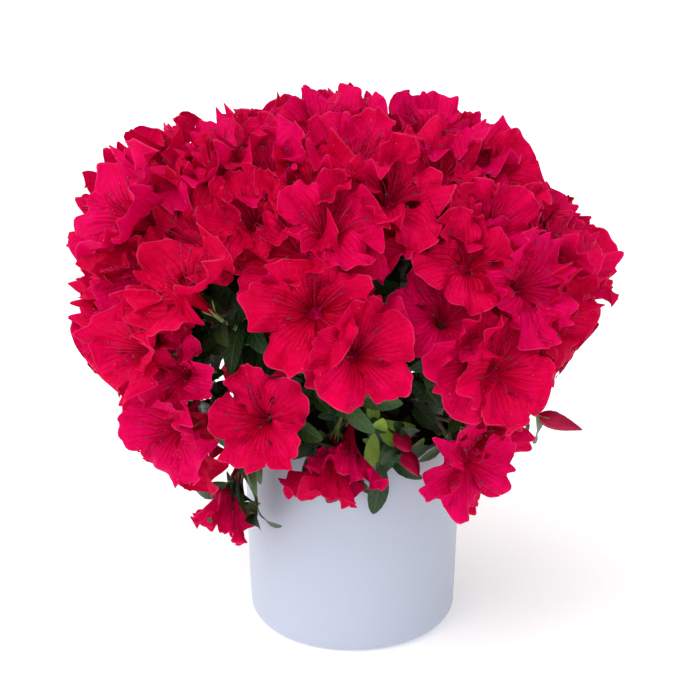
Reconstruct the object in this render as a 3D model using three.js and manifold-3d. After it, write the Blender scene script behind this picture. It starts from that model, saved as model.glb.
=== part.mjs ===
// A florist's azalea in full bloom, in a plain cylinder pot. Millimetres, +Z up, the plant's front faces -Y.
// The origin is the centre of the pot's flat underside.
//
// The pot holds a plug of potting mix. A short woody stem stands on the mix and forks into boughs. Each bough
// ends just short of the stem of one mass: twigs, leaves and blooms that are fused into one solid and keep to
// their own wedge of the crown.

import * as THREE from "three";
import { mergeVertices } from "three/addons/utils/BufferGeometryUtils.js";
import Module from "manifold-3d";

const wasm = await Module();
wasm.setup();

// ---------------------------------------------------------------- driving dimensions

const GAP = 0.3; // clearance between touching pieces
const SLIVER = 0.3; // detail finer than this goes where solids are joined

const POT = {
  height: 160,
  rimRadius: 82.5,
  footRadius: 78.5,
  wall: 5,
  floor: 8,
  footRound: 11.5,
  lipRound: 1.6,
  sides: 40,
};

const MIX = {
  edgeHeight: 148, // where the mix meets the wall
  crownHeight: 155, // the small flat on which the stem stands
  flatRadius: 15,
  sides: 32,
};

const STEM = {
  topHeight: 206,
  footRadius: 12, // the flare of the roots
  neckRadius: 8.6,
  topRadius: 6.2,
  leanX: -4,
  leanY: 3,
  steps: 6,
  sides: 8,
};

const HEART = new THREE.Vector3(0, 0, 215); // the point that the whole crown radiates from

const BOUGH = {
  radius: 4.3,
  sideRadius: 3.2,
  tipRadius: 2.3,
  run: 0.45, // how far a bough points along its mass's line before it ends, as a share of its span
  steps: 3,
  sides: 5,
};

const MASS = {
  stemStart: 0.4, // share of the reach at which a mass's stem begins
  stemEnd: 0.58,
  stemRadius: 2.2,
  forkRadius: 0.4, // a twig starts slim, inside the wood that it leaves
  twigRadius: 1.3,
  edgeDip: 0.1, // how far the outline falls back at a mass's edge, as a share of the reach
  spread: 24, // degrees from a mass's middle to its edge
  margin: 0.5, // what a mass leaves free along the borders of its wedge
  straight: 6, // how far a mass's stem runs on in line with its bough
  homing: 0.35, // how much a twig prefers wood that is near the foot of its mass
  fork: 0.6, // where on a twig the next ones may leave it, as a share of its length
};

const CLEARANCE = { pot: 2.5, limb: 2, rimOver: 8, rimBeside: 4 };

const GOLDEN = 137.508; // degrees from one bloom, or one leaf, to the next
const CROWN = {
  blooms: 110,
  lowest: -14, // degrees above the level of the heart, as are all elevations
  start: 20, // degrees
  turn: 70, // degrees from one low mass's first tip to the next one's
  wander: 3, // degrees that a bloom strays from its even place
  depthWander: 9, // millimetres that it stands back at most
  forwardWander: 3.6,
};

// Heights and widths of a bloom's tube and lobes are shares of the bloom's radius.
const TUBE = { foot: -0.05, neckWidth: 0.16, neckHeight: 0.24, throat: 0.34, mouthWidth: 0.17, mouth: 0.4 };
const LOBE = { length: 0.88, notch: 0.62, shoulder: 0.92, shoulderAt: 0.15 };

const BLOOM = {
  radius: 45,
  sizeWander: 0.08,
  lobes: 5,
  flare: 71, // degrees between the axis and an open bloom's lobes
  halfFlare: 24,
  ruffle: 0.1, // how far the rim waves, as a share of the radius
  fullReach: 205, // a bloom that reaches further is larger, and a nearer one smaller
  depth: 0.72, // from the foot of the tube to the open face, as a share of the radius
  lift: 0.12, // how much blooms turn up towards the light
  hang: 0.6, // how much half-open ones turn down
  nod: 0.26, // how far they turn aside
  flareWander: 9,
  core: 0.35, // the share of the radius that always lies inside the mass's borders
};

const BUD = {
  length: 1.8,
  heights: [-0.05, 0.15, 0.5, 0.85, 1], // shares of the length
  widths: [0.07, 0.2, 0.28, 0.16, 0.04],
  sides: 5,
};

const LEAF = {
  length: 33,
  lengthWander: 6,
  width: 13,
  sheet: 1.1,
  highest: 7, // how far below a twig's tip the leaves stand
  lowest: 22,
  droop: 0.08, // how far a leaf's tip hangs, as a share of its length
  lean: [50, 88], // degrees between a leaf and its twig
  turnWander: 25,
  onLeafyTip: 5,
  underBloom: 0.35, // share of the blooms that have a leaf below them
};

// How large a tip's growth is, against an open bloom.
const SIZES = { open: 1, half: 0.82, buds: 0.42, leafy: 0.45 };

// Each mass: where it points from the heart (azimuth 0 is the front and 90 the right, degrees), how far its
// blooms reach, the limb that its bough leaves, and where on it, as a share of that limb's length.
const MASSES = [
  { name: "top", azimuth: -30, elevation: 85, reach: 206, from: "stem", at: 1 },
  { name: "upper_front", azimuth: -8, elevation: 52, reach: 200, from: "stem", at: 0.8 },
  { name: "upper_left", azimuth: -82, elevation: 43, reach: 235, from: "stem", at: 0.76 },
  { name: "upper_right", azimuth: 80, elevation: 60, reach: 208, from: "stem", at: 0.84 },
  { name: "upper_back_right", azimuth: 142, elevation: 48, reach: 206, from: "stem", at: 0.72 },
  { name: "upper_back_left", azimuth: -148, elevation: 47, reach: 212, from: "stem", at: 0.86 },
  { name: "left", azimuth: -92, elevation: 12, reach: 214, from: "upper_left", at: 0.3 },
  { name: "front_left", azimuth: -46, elevation: 23, reach: 206, from: "upper_front", at: 0.3 },
  { name: "front", azimuth: -2, elevation: 24, reach: 192, from: "upper_front", at: 0.5 },
  { name: "front_right", azimuth: 41, elevation: 23, reach: 198, from: "upper_right", at: 0.3 },
  { name: "right", azimuth: 86, elevation: 26, reach: 210, from: "upper_right", at: 0.5 },
  { name: "back_right", azimuth: 131, elevation: 11, reach: 200, from: "upper_back_right", at: 0.5 },
  { name: "back", azimuth: 176, elevation: 12, reach: 200, from: "upper_back_right", at: 0.3 },
  { name: "back_left", azimuth: -136, elevation: 10, reach: 204, from: "upper_back_left", at: 0.4 },
  { name: "low_left", azimuth: -55, elevation: -11, reach: 190, from: "stem", at: 0.5 },
  { name: "low_front", azimuth: -28, elevation: -6, reach: 166, from: "stem", at: 0.62 },
  { name: "low_right", azimuth: 39, elevation: -15, reach: 166, from: "stem", at: 0.48 },
  { name: "side_right", azimuth: 86, elevation: -12, reach: 158, from: "stem", at: 0.6 },
  { name: "hanging_left", azimuth: -49, elevation: -40, reach: 168, from: "stem", at: 0.3 },
  { name: "rim_front", azimuth: -8, elevation: -22, reach: 134, from: "stem", at: 0.4 },
  { name: "rim_right", azimuth: 18, elevation: -21, reach: 116, from: "stem", at: 0.28 },
  { name: "low_back_right", azimuth: 136, elevation: -17, reach: 172, from: "stem", at: 0.52 },
  { name: "low_back_left", azimuth: -158, elevation: -17, reach: 172, from: "stem", at: 0.36 },
];

// The low masses have growth of their own, spread over some degrees round their middle: open and half-open
// blooms, buds and bare leafy tips. The others share out the crown's blooms.
const LOW_GROWTH = {
  low_left: { spread: 10, open: 3 },
  low_front: { spread: 10, open: 3, leafy: 1 },
  low_right: { spread: 14, open: 3, leafy: 1 },
  side_right: { spread: 12, open: 2, buds: 1, leafy: 2 },
  hanging_left: { spread: 9, half: 1, leafy: 2 },
  rim_front: { spread: 10, half: 2, leafy: 2 },
  rim_right: { spread: 13, buds: 2, leafy: 4 },
  low_back_right: { spread: 15, open: 3, leafy: 1 },
  low_back_left: { spread: 16, open: 3, leafy: 1 },
};

const finish = {
  pot: new THREE.MeshStandardMaterial({ color: 0xd3d8ea, roughness: 0.45, metalness: 0 }),
  mix: new THREE.MeshStandardMaterial({ color: 0x221914, roughness: 1, metalness: 0 }),
  bark: new THREE.MeshStandardMaterial({ color: 0x55463a, roughness: 0.9, metalness: 0 }),
  blossom: new THREE.MeshStandardMaterial({ color: 0xd1064a, roughness: 0.55, metalness: 0 }),
};

// ---------------------------------------------------------------- numbers and directions

const UP = new THREE.Vector3(0, 0, 1);
const radians = THREE.MathUtils.degToRad;
const degrees = THREE.MathUtils.radToDeg;
const vector = (x, y, z) => new THREE.Vector3(x, y, z);

// A repeatable stream of numbers: the same seed always draws the same ones.
function draws(seed) {
  let state = (seed * 2654435761) % 4294967296;
  return (low, high) => {
    state = (state * 1664525 + 1013904223) % 4294967296;
    return low + ((high - low) * state) / 4294967296;
  };
}

// Unit vector at an azimuth, 0 towards the front and 90 to the right, and an elevation, in degrees.
function pointing(azimuth, elevation) {
  const a = radians(azimuth);
  const e = radians(elevation);
  return vector(Math.sin(a) * Math.cos(e), -Math.cos(a) * Math.cos(e), Math.sin(e));
}

// Two unit vectors square to a direction and to each other.
function across(direction) {
  const level = Math.abs(direction.z) > 0.98 ? vector(1, 0, 0) : UP;
  const one = level.clone().cross(direction).normalize();
  return [one, direction.clone().cross(one).normalize()];
}

// The direction that leans from an axis by some degrees, turned round it by others.
function leaning(axis, lean, turn) {
  const [one, two] = across(axis);
  return axis
    .clone()
    .multiplyScalar(Math.cos(radians(lean)))
    .addScaledVector(one, Math.sin(radians(lean)) * Math.cos(radians(turn)))
    .addScaledVector(two, Math.sin(radians(lean)) * Math.sin(radians(turn)));
}

// ---------------------------------------------------------------- solids

function geometryOf(points, faces) {
  const geometry = new THREE.BufferGeometry().setFromPoints(points);
  geometry.setIndex(faces.flat());
  return geometry;
}

function solidOf(geometry) {
  const bare = geometry.clone();
  bare.deleteAttribute("normal");
  bare.deleteAttribute("uv");
  const merged = mergeVertices(bare, 1e-4);
  return new wasm.Manifold(
    new wasm.Mesh({
      numProp: 3,
      vertProperties: merged.attributes.position.array,
      triVerts: new Uint32Array(merged.index.array),
    }),
  );
}

// Joins solids into one body. Hollows that the joining seals are filled, and scraps that hang on nothing go.
function fuse(solids) {
  const bodies = wasm.Manifold.union(solids).simplify(SLIVER).decompose();
  return bodies.reduce((best, body) => (body.volume() > best.volume() ? body : best));
}

function meshOf(solid, name, material) {
  const { vertProperties, triVerts } = solid.getMesh();
  const geometry = new THREE.BufferGeometry();
  geometry.setAttribute("position", new THREE.BufferAttribute(vertProperties, 3));
  geometry.setIndex(new THREE.BufferAttribute(triVerts, 1));
  geometry.computeVertexNormals();
  const mesh = new THREE.Mesh(geometry, material);
  mesh.name = name;
  return mesh;
}

// A closed tapering limb through the given centres, with one radius for each. Its end faces are square to it.
function limb(centres, radii, sides) {
  const points = [];
  const faces = [];
  let side = null;
  centres.forEach((centre, i) => {
    const ahead = centres[Math.min(i + 1, centres.length - 1)];
    const behind = centres[Math.max(i - 1, 0)];
    const along = ahead.clone().sub(behind).normalize();
    side = side ? side.addScaledVector(along, -side.dot(along)).normalize() : across(along)[0];
    const other = along.clone().cross(side);
    for (let k = 0; k < sides; k++) {
      const angle = (2 * Math.PI * k) / sides;
      points.push(
        centre
          .clone()
          .addScaledVector(side, radii[i] * Math.cos(angle))
          .addScaledVector(other, radii[i] * Math.sin(angle)),
      );
    }
  });
  const ring = (i, k) => i * sides + (k % sides);
  for (let i = 0; i + 1 < centres.length; i++)
    for (let k = 0; k < sides; k++) {
      faces.push([ring(i, k), ring(i, k + 1), ring(i + 1, k + 1)]);
      faces.push([ring(i, k), ring(i + 1, k + 1), ring(i + 1, k)]);
    }
  const last = centres.length - 1;
  for (let k = 1; k + 1 < sides; k++) {
    faces.push([ring(0, 0), ring(0, k + 1), ring(0, k)]);
    faces.push([ring(last, 0), ring(last, k), ring(last, k + 1)]);
  }
  return solidOf(geometryOf(points, faces));
}

// ---------------------------------------------------------------- leaf, bloom and bud

// The corners of a leaf: root, tip, two sides, and the middle of its upper and lower face.
function leafCorners({ root, direction, face, length, width }) {
  const side = direction.clone().cross(face).normalize();
  const middle = root.clone().addScaledVector(direction, 0.5 * length);
  return [
    root.clone(),
    root.clone().addScaledVector(direction, length).addScaledVector(face, -LEAF.droop * length),
    middle.clone().addScaledVector(side, 0.5 * width),
    middle.clone().addScaledVector(side, -0.5 * width),
    middle.clone().addScaledVector(face, 0.5 * LEAF.sheet),
    middle.clone().addScaledVector(face, -0.5 * LEAF.sheet),
  ];
}

const LEAF_FACES = [
  [0, 2, 4],
  [2, 1, 4],
  [1, 3, 4],
  [3, 0, 4],
  [2, 0, 5],
  [1, 2, 5],
  [3, 1, 5],
  [0, 3, 5],
];

// The corners of a bloom: a slender tube that flares into lobes with a waved rim. The first two corners are
// the foot of the tube and the bottom of the throat. Then come, lobe by lobe, a corner of the tube's neck,
// the notch before the lobe, and the lobe's shoulder, tip and other shoulder. Where a corner would cross a
// border it is drawn back towards the bloom's axis, and a rim corner never below the mouth of the tube.
function bloomCorners({ base, axis, radius, kind, draw }, borders) {
  const [one, two] = across(axis);
  const onAxis = (up) => base.clone().addScaledVector(axis, up * radius);
  const place = (angle, out, up) =>
    heldInside(
      onAxis(up)
        .addScaledVector(one, out * radius * Math.cos(angle))
        .addScaledVector(two, out * radius * Math.sin(angle)),
      onAxis(Math.min(up, TUBE.mouth)),
      borders,
      0,
    );
  const corners = [onAxis(TUBE.foot), onAxis(TUBE.throat)];
  const step = (2 * Math.PI) / BLOOM.lobes;
  const turn = draw(0, step);
  for (let i = 0; i < BLOOM.lobes; i++) {
    const wander = draw(-BLOOM.flareWander, BLOOM.flareWander);
    const flare = radians(wander + (kind === "half" ? BLOOM.halfFlare : BLOOM.flare));
    const rim = (share, length) => {
      const wave = draw(-1, 1) * BLOOM.ruffle;
      const out = TUBE.mouthWidth + LOBE.length * length * Math.sin(flare) + wave * Math.cos(flare);
      const up = TUBE.mouth + LOBE.length * length * Math.cos(flare) - wave * Math.sin(flare);
      return place(turn + (i + share) * step, out, up);
    };
    corners.push(place(turn + i * step, TUBE.neckWidth, TUBE.neckHeight));
    corners.push(rim(0, LOBE.notch), rim(LOBE.shoulderAt, LOBE.shoulder), rim(0.5, 1));
    corners.push(rim(1 - LOBE.shoulderAt, LOBE.shoulder));
  }
  return corners;
}

// The triangles over bloomCorners: four inside each lobe, five outside it, and one side of the tube.
const BLOOM_FACES = Array.from({ length: BLOOM.lobes }, (_, i) => {
  const [foot, throat] = [0, 1];
  const corner = (j) => 2 + 5 * i + j;
  const next = (j) => 2 + 5 * ((i + 1) % BLOOM.lobes) + j;
  const [neck, notch, shoulder, tip, other] = [0, 1, 2, 3, 4].map(corner);
  return [
    [throat, notch, shoulder],
    [throat, shoulder, tip],
    [throat, tip, other],
    [throat, other, next(1)],
    [neck, shoulder, notch],
    [neck, tip, shoulder],
    [neck, next(0), tip],
    [next(0), other, tip],
    [next(0), next(1), other],
    [foot, next(0), neck],
  ];
}).flat();

// ---------------------------------------------------------------- limbs

const stemTop = vector(STEM.leanX, STEM.leanY, STEM.topHeight);
const stemCurve = new THREE.QuadraticBezierCurve3(
  vector(0, 0, MIX.crownHeight + GAP),
  vector(0, 0, 0.6 * MIX.crownHeight + 0.4 * STEM.topHeight),
  stemTop,
);
const stemRadius = (share) =>
  share < 0.25
    ? THREE.MathUtils.lerp(STEM.footRadius, STEM.neckRadius, share / 0.25)
    : THREE.MathUtils.lerp(STEM.neckRadius, STEM.topRadius, (share - 0.25) / 0.75);

for (const mass of MASSES) mass.direction = pointing(mass.azimuth, mass.elevation);

// The point on a mass's own line at a share of its reach.
const along = (mass, share) => HEART.clone().addScaledVector(mass.direction, share * mass.reach);

// Every limb by name: its curve, and its radius at a share of its length.
const limbs = new Map([["stem", { curve: stemCurve, radius: stemRadius }]]);
for (const mass of MASSES) {
  const thick = mass.from === "stem" ? BOUGH.radius : BOUGH.sideRadius;
  const start = limbs.get(mass.from).curve.getPoint(mass.at);
  const end = along(mass, MASS.stemStart).addScaledVector(mass.direction, -GAP);
  const bend = end.clone().addScaledVector(mass.direction, -BOUGH.run * start.distanceTo(end));
  limbs.set(mass.name, {
    curve: new THREE.QuadraticBezierCurve3(start, bend, end),
    radius: (share) => THREE.MathUtils.lerp(thick, BOUGH.tipRadius, share),
  });
}

// The shares 0 to 1 at the ends of a number of equal steps.
const shares = (steps) => Array.from({ length: steps + 1 }, (_, i) => i / steps);

// The solid of a limb, thickened all round by some extra. A short last step sets its end face square.
function limbSolid({ curve, radius }, steps, sides, extra) {
  const stops = shares(steps);
  stops.splice(steps, 0, 0.99);
  return limb(
    stops.map((share) => curve.getPoint(share)),
    stops.map((share) => radius(share) + extra),
    sides,
  );
}

// How far a point is from the surface of the nearest limb.
const limbSamples = [...limbs.values()].flatMap(({ curve, radius }) =>
  shares(12).map((share) => ({ at: curve.getPoint(share), radius: radius(share) })),
);
const fromLimbs = (point) => Math.min(...limbSamples.map(({ at, radius }) => at.distanceTo(point) - radius));

// ---------------------------------------------------------------- masses

// A mass keeps to the wedge of points that lie nearer its own direction than any other mass's.
for (const mass of MASSES)
  mass.borders = MASSES.filter((other) => other !== mass).map((other) =>
    mass.direction.clone().sub(other.direction).normalize(),
  );

// How far a point lies inside the nearest of some borders.
const insideBy = (point, borders) =>
  Math.min(...borders.map((border) => point.clone().sub(HEART).dot(border))) - MASS.margin;

// Draws a point back towards another one, which lies within the borders, until it is inside by some depth.
function heldInside(point, home, borders, depth) {
  let share = 1;
  for (const border of borders) {
    const room = home.clone().sub(HEART).dot(border) - MASS.margin - depth;
    const gone = home.clone().sub(point).dot(border);
    if (gone > room) share = Math.min(share, Math.max(room / gone, 0));
  }
  return home.clone().lerp(point, share);
}

// Whether a point is clear of the pot and the mix.
function clearOfPot({ x, y, z }) {
  const out = Math.hypot(x, y);
  if (z > POT.height + CLEARANCE.pot || out > POT.rimRadius + CLEARANCE.pot) return true;
  return out < POT.rimRadius - POT.wall - 2 * CLEARANCE.pot && z > MIX.crownHeight + CLEARANCE.pot;
}

// Growth at the end of a twig: what it is, its direction from the heart, and how far it reaches. Edge is how
// far out in its mass it stands, 1 at the mass's edge.
const growth = (mass, kind, direction, edge, draw) => ({
  kind,
  draw,
  direction,
  reach: mass.reach * (1 - MASS.edgeDip * edge * edge) + draw(-CROWN.depthWander, CROWN.forwardWander),
});

// The growth of a low mass, dealt round its middle.
function lowGrowth(mass, seed) {
  const { spread, ...counts } = LOW_GROWTH[mass.name];
  const kinds = Object.entries(counts).flatMap(([kind, count]) => Array(count).fill(kind));
  return kinds.map((kind, k) => {
    const draw = draws(1000 * seed + k);
    const edge = Math.sqrt((k + 0.4) / kinds.length);
    const direction = leaning(mass.direction, edge * spread, GOLDEN * k + CROWN.turn * seed);
    return growth(mass, kind, direction, edge, draw);
  });
}

MASSES.forEach((mass, seed) => {
  mass.low = mass.name in LOW_GROWTH;
  mass.growth = mass.low ? lowGrowth(mass, seed) : [];
});

// The crown's open blooms, dealt evenly over it. Each goes to the mass that it lies in.
const lowest = Math.sin(radians(CROWN.lowest));
for (let k = 0; k < CROWN.blooms; k++) {
  const draw = draws(k);
  const elevation = degrees(Math.asin(lowest + ((1 - lowest) * (k + 0.5)) / CROWN.blooms));
  const sideways = draw(-CROWN.wander, CROWN.wander) / Math.cos(radians(elevation));
  const upwards = draw(-CROWN.wander, CROWN.wander);
  const direction = pointing(CROWN.start + GOLDEN * k + sideways, elevation + upwards);
  const nearness = (mass) => mass.direction.dot(direction);
  const mass = MASSES.reduce((best, other) => (nearness(other) > nearness(best) ? other : best));
  const edge = degrees(mass.direction.angleTo(direction)) / MASS.spread;
  if (!mass.low) mass.growth.push(growth(mass, "open", direction, edge, draw));
}

// Where a twig ends, which way it faces there, and the size of what it carries.
function tipOf({ kind, direction, reach, draw }, mass) {
  const wander = 1 + draw(-BLOOM.sizeWander, BLOOM.sizeWander);
  const radius = BLOOM.radius * SIZES[kind] * wander * (reach / BLOOM.fullReach);
  const axis = direction
    .clone()
    .addScaledVector(UP, kind === "half" ? -BLOOM.hang : BLOOM.lift)
    .add(vector(draw(-1, 1), draw(-1, 1), draw(-1, 1)).multiplyScalar(BLOOM.nod))
    .normalize();
  const rim = HEART.clone().addScaledVector(direction, reach);
  const centre = heldInside(rim, along(mass, 1), mass.borders, BLOOM.core * radius);
  const base = centre.clone().addScaledVector(axis, -BLOOM.depth * radius);
  return { kind, draw, radius, axis, base, direction: centre.sub(HEART).normalize() };
}

// The leaves that stand round a twig just below its tip.
function leavesAt({ base, draw }, axis, count) {
  return Array.from({ length: count }, (_, i) => {
    const below = draw(LEAF.highest, LEAF.lowest);
    const direction = leaning(axis, draw(...LEAF.lean), i * GOLDEN + draw(-LEAF.turnWander, LEAF.turnWander));
    const length = LEAF.length + draw(-LEAF.lengthWander, LEAF.lengthWander);
    const face = axis.clone().addScaledVector(direction, -axis.dot(direction)).normalize();
    const root = base.clone().addScaledVector(axis, -below).addScaledVector(direction, 0.1 * MASS.twigRadius);
    return { root, direction, face, length, width: LEAF.width * (length / LEAF.length) };
  });
}

// Carries the end of a low stem up over the pot's rim, and out past it where it lies near.
function liftOverRim(point) {
  const out = Math.hypot(point.x, point.y);
  const share = out > 0.8 * POT.rimRadius ? Math.max(out, POT.rimRadius + CLEARANCE.rimBeside) / out : 1;
  point.set(point.x * share, point.y * share, Math.max(point.z, POT.height + CLEARANCE.rimOver));
}

// A bud: a plump spindle.
function budSolid({ base, axis, radius }) {
  const onAxis = (height) => base.clone().addScaledVector(axis, BUD.length * height * radius);
  return limb(
    BUD.heights.map(onAxis),
    BUD.widths.map((width) => width * radius),
    BUD.sides,
  );
}

// A bloom, whose corners stay within the borders of its mass and between its neighbours in it.
function bloomSolid(tip, tips, mass) {
  const others = tips.filter((other) => other !== tip);
  const between = others.map((other) => tip.direction.clone().sub(other.direction).normalize());
  const corners = bloomCorners(tip, [...mass.borders, ...between]);
  return corners.every(clearOfPot) ? solidOf(geometryOf(corners, BLOOM_FACES)) : null;
}

// What grows at a tip: its leaves, and its bloom or bud. A leaf that would leave the wedge or touch a limb is
// skipped.
function tipSolids(tip, twigDirection, tips, mass) {
  const free = (point) =>
    insideBy(point, mass.borders) > 0 && clearOfPot(point) && fromLimbs(point) > CLEARANCE.limb;
  const leaves = tip.kind === "leafy" ? LEAF.onLeafyTip : Number(tip.draw(0, 1) < LEAF.underBloom);
  const solids = leavesAt(tip, twigDirection, leaves)
    .map(leafCorners)
    .filter(([root, end, ...sides]) => {
      const spine = shares(4).map((share) => root.clone().lerp(end, share));
      return [...sides, ...spine].every(free);
    })
    .map((corners) => solidOf(geometryOf(corners, LEAF_FACES)));
  if (tip.kind === "buds") solids.push(budSolid(tip));
  if (tip.kind === "open" || tip.kind === "half") solids.push(bloomSolid(tip, tips, mass));
  return solids.filter(Boolean);
}

// A mass: its stem, and twigs that each leave the nearest wood that has grown before them.
function massSolid(mass) {
  const seat = along(mass, MASS.stemStart);
  const straight = seat.clone().addScaledVector(mass.direction, MASS.straight);
  const stemTip = along(mass, MASS.stemEnd);
  if (mass.low) liftOverRim(stemTip);
  const solids = [limb([seat, straight, stemTip], [MASS.stemRadius, MASS.stemRadius, MASS.twigRadius], 5)];
  const grown = [straight, stemTip];
  const tips = mass.growth.map((tip) => tipOf(tip, mass));
  tips.sort((one, other) => one.base.distanceTo(seat) - other.base.distanceTo(seat));
  for (const tip of tips) {
    const end = tip.base.clone().addScaledVector(tip.axis, 1);
    const cost = (point) => point.distanceTo(end) + MASS.homing * point.distanceTo(seat);
    const fork = grown.reduce((best, point) => (cost(point) < cost(best) ? point : best));
    const fits = (point) => insideBy(point, mass.borders) > MASS.twigRadius && clearOfPot(point);
    if (!shares(4).every((share) => fits(fork.clone().lerp(end, share)))) continue;
    grown.push(fork.clone().lerp(end, MASS.fork));
    solids.push(limb([fork, end], [MASS.forkRadius, MASS.twigRadius], 3));
    solids.push(...tipSolids(tip, end.clone().sub(fork).normalize(), tips, mass));
  }
  return fuse(solids);
}

// ---------------------------------------------------------------- pot and mix

const arc = (x, y, radius, from, to, steps) =>
  Array.from({ length: steps + 1 }, (_, i) => {
    const angle = radians(from + ((to - from) * i) / steps);
    return new THREE.Vector2(x + radius * Math.cos(angle), y + radius * Math.sin(angle));
  });

// A round solid about Z from an outline that starts and ends on the axis.
const turned = (outline, sides) => new THREE.LatheGeometry(outline, sides).rotateX(Math.PI / 2);

const innerRadiusAt = (height) =>
  THREE.MathUtils.lerp(POT.footRadius, POT.rimRadius, height / POT.height) - POT.wall;

function potGeometry() {
  const { height, rimRadius, footRadius, wall, floor, footRound, lipRound } = POT;
  const lip = (x, from, to) => arc(x, height - lipRound, lipRound, from, to, 2);
  return turned(
    [
      new THREE.Vector2(0, 0),
      ...arc(footRadius - footRound, footRound, footRound, -90, 0, 4),
      ...lip(rimRadius - lipRound, 0, 90),
      ...lip(rimRadius - wall + lipRound, 90, 180),
      ...arc(innerRadiusAt(floor) - footRound, floor + footRound, footRound, 0, -90, 2),
      new THREE.Vector2(0, floor),
    ],
    POT.sides,
  );
}

function mixGeometry() {
  const bottom = POT.floor + GAP;
  const at = (height) => innerRadiusAt(height) - GAP;
  return turned(
    [
      new THREE.Vector2(0, bottom),
      ...arc(at(bottom) - POT.footRound - GAP, bottom + POT.footRound, POT.footRound, -90, 0, 2),
      new THREE.Vector2(at(MIX.edgeHeight), MIX.edgeHeight),
      new THREE.Vector2(0.6 * at(MIX.edgeHeight), 0.3 * MIX.edgeHeight + 0.7 * MIX.crownHeight),
      new THREE.Vector2(MIX.flatRadius, MIX.crownHeight),
      new THREE.Vector2(0, MIX.crownHeight),
    ],
    MIX.sides,
  );
}

// ---------------------------------------------------------------- the plant

const plant = new THREE.Group();

plant.add(meshOf(solidOf(potGeometry()), "pot", finish.pot));
plant.add(meshOf(solidOf(mixGeometry()), "potting_mix", finish.mix));

const stem = limbs.get("stem");
plant.add(meshOf(limbSolid(stem, STEM.steps, STEM.sides, 0), "stem", finish.bark));

// Every bough is cut clear of the wood before it.
let wood = limbSolid(stem, STEM.steps, STEM.sides, GAP);
for (const { name } of MASSES) {
  const bough = limbs.get(name);
  const body = fuse([limbSolid(bough, BOUGH.steps, BOUGH.sides, 0).subtract(wood)]);
  wood = wood.add(limbSolid(bough, BOUGH.steps, BOUGH.sides, GAP));
  plant.add(meshOf(body, `bough_${name}`, finish.bark));
}

for (const mass of MASSES) plant.add(meshOf(massSolid(mass), `mass_${mass.name}`, finish.blossom));

export default plant;
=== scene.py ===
"""A florist's azalea in full bloom, in a plain cylinder pot. Metres, +Z up, the plant's front faces -Y."""

import bpy
import math
import numpy as np
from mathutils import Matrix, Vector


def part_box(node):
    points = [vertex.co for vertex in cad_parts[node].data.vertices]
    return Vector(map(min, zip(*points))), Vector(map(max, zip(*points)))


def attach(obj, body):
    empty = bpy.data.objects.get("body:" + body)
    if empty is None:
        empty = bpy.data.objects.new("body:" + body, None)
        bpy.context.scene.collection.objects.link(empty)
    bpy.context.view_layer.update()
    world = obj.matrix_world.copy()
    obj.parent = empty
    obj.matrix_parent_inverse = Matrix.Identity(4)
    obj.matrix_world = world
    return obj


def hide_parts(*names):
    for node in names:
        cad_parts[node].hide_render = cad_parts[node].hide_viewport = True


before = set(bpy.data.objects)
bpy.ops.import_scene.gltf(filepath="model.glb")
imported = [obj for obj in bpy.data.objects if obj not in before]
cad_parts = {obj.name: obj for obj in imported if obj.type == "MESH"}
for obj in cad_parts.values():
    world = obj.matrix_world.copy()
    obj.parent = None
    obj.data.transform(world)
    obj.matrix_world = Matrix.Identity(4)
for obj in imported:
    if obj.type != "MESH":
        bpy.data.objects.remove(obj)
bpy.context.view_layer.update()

# ---------------------------------------------------------------- camera, light and floor
# The plant stands on a white floor in a softly lit white room. It is seen from the front and from a little
# above, through a long lens. The walls glow most on the left, and one broad soft lamp there adds to them.

AIM = np.array([-0.0019, 0, 0.2138])
CAMERA_DISTANCE = 1.542
CAMERA_RISE = math.radians(20.29)  # above the level of the aim
SENSOR = 0.036
FOCAL_LENGTH = 0.10627
FLOOR_SIZE = 14

scene = bpy.context.scene
scene.view_settings.view_transform = "Standard"

camera = bpy.data.objects.new("camera", bpy.data.cameras.new("camera"))
camera.data.sensor_width = 1000 * SENSOR
camera.data.lens = 1000 * FOCAL_LENGTH
camera.location = AIM + CAMERA_DISTANCE * np.array([0, -math.cos(CAMERA_RISE), math.sin(CAMERA_RISE)])
camera.rotation_euler = (math.pi / 2 - CAMERA_RISE, 0, 0)
scene.collection.objects.link(camera)
scene.camera = camera

world = bpy.data.worlds.new("white_room")
world.use_nodes = True
scene.world = world

LAMP_AZIMUTH, LAMP_ELEVATION = -42, 50  # where the lamp shines from, in degrees
LAMP_WIDTH = 26  # degrees
LAMP_STRENGTH = 0.7
lamp = bpy.data.objects.new("key", bpy.data.lights.new("key", "SUN"))
lamp.data.energy = LAMP_STRENGTH
lamp.data.angle = math.radians(LAMP_WIDTH)
lamp.rotation_euler = (math.radians(90 - LAMP_ELEVATION), 0, math.radians(LAMP_AZIMUTH))
scene.collection.objects.link(lamp)


def add(tree, kind, inputs=None, **settings):
    """A node of a kind, with its settings, and with a value or a link for each input that is named."""
    made = tree.nodes.new(kind)
    for name, value in settings.items():
        setattr(made, name, value)
    for name, value in (inputs or {}).items():
        if isinstance(value, bpy.types.NodeSocket):
            tree.links.new(value, made.inputs[name])
        else:
            made.inputs[name].default_value = value
    return made


def calculate(tree, operation, *values, clamp=False):
    """The result of a Math node on two or three values or sockets."""
    made = add(tree, "ShaderNodeMath", dict(enumerate(values)), operation=operation, use_clamp=clamp)
    return made.outputs[0]


def blended(tree, share, one, other):
    """A colour between two others, by a share."""
    mix = add(tree, "ShaderNodeMix", data_type="RGBA")
    for place, value in zip((0, 6, 7), (share, one, other)):
        if isinstance(value, bpy.types.NodeSocket):
            tree.links.new(value, mix.inputs[place])
        else:
            mix.inputs[place].default_value = value
    return mix.outputs[2]


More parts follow.
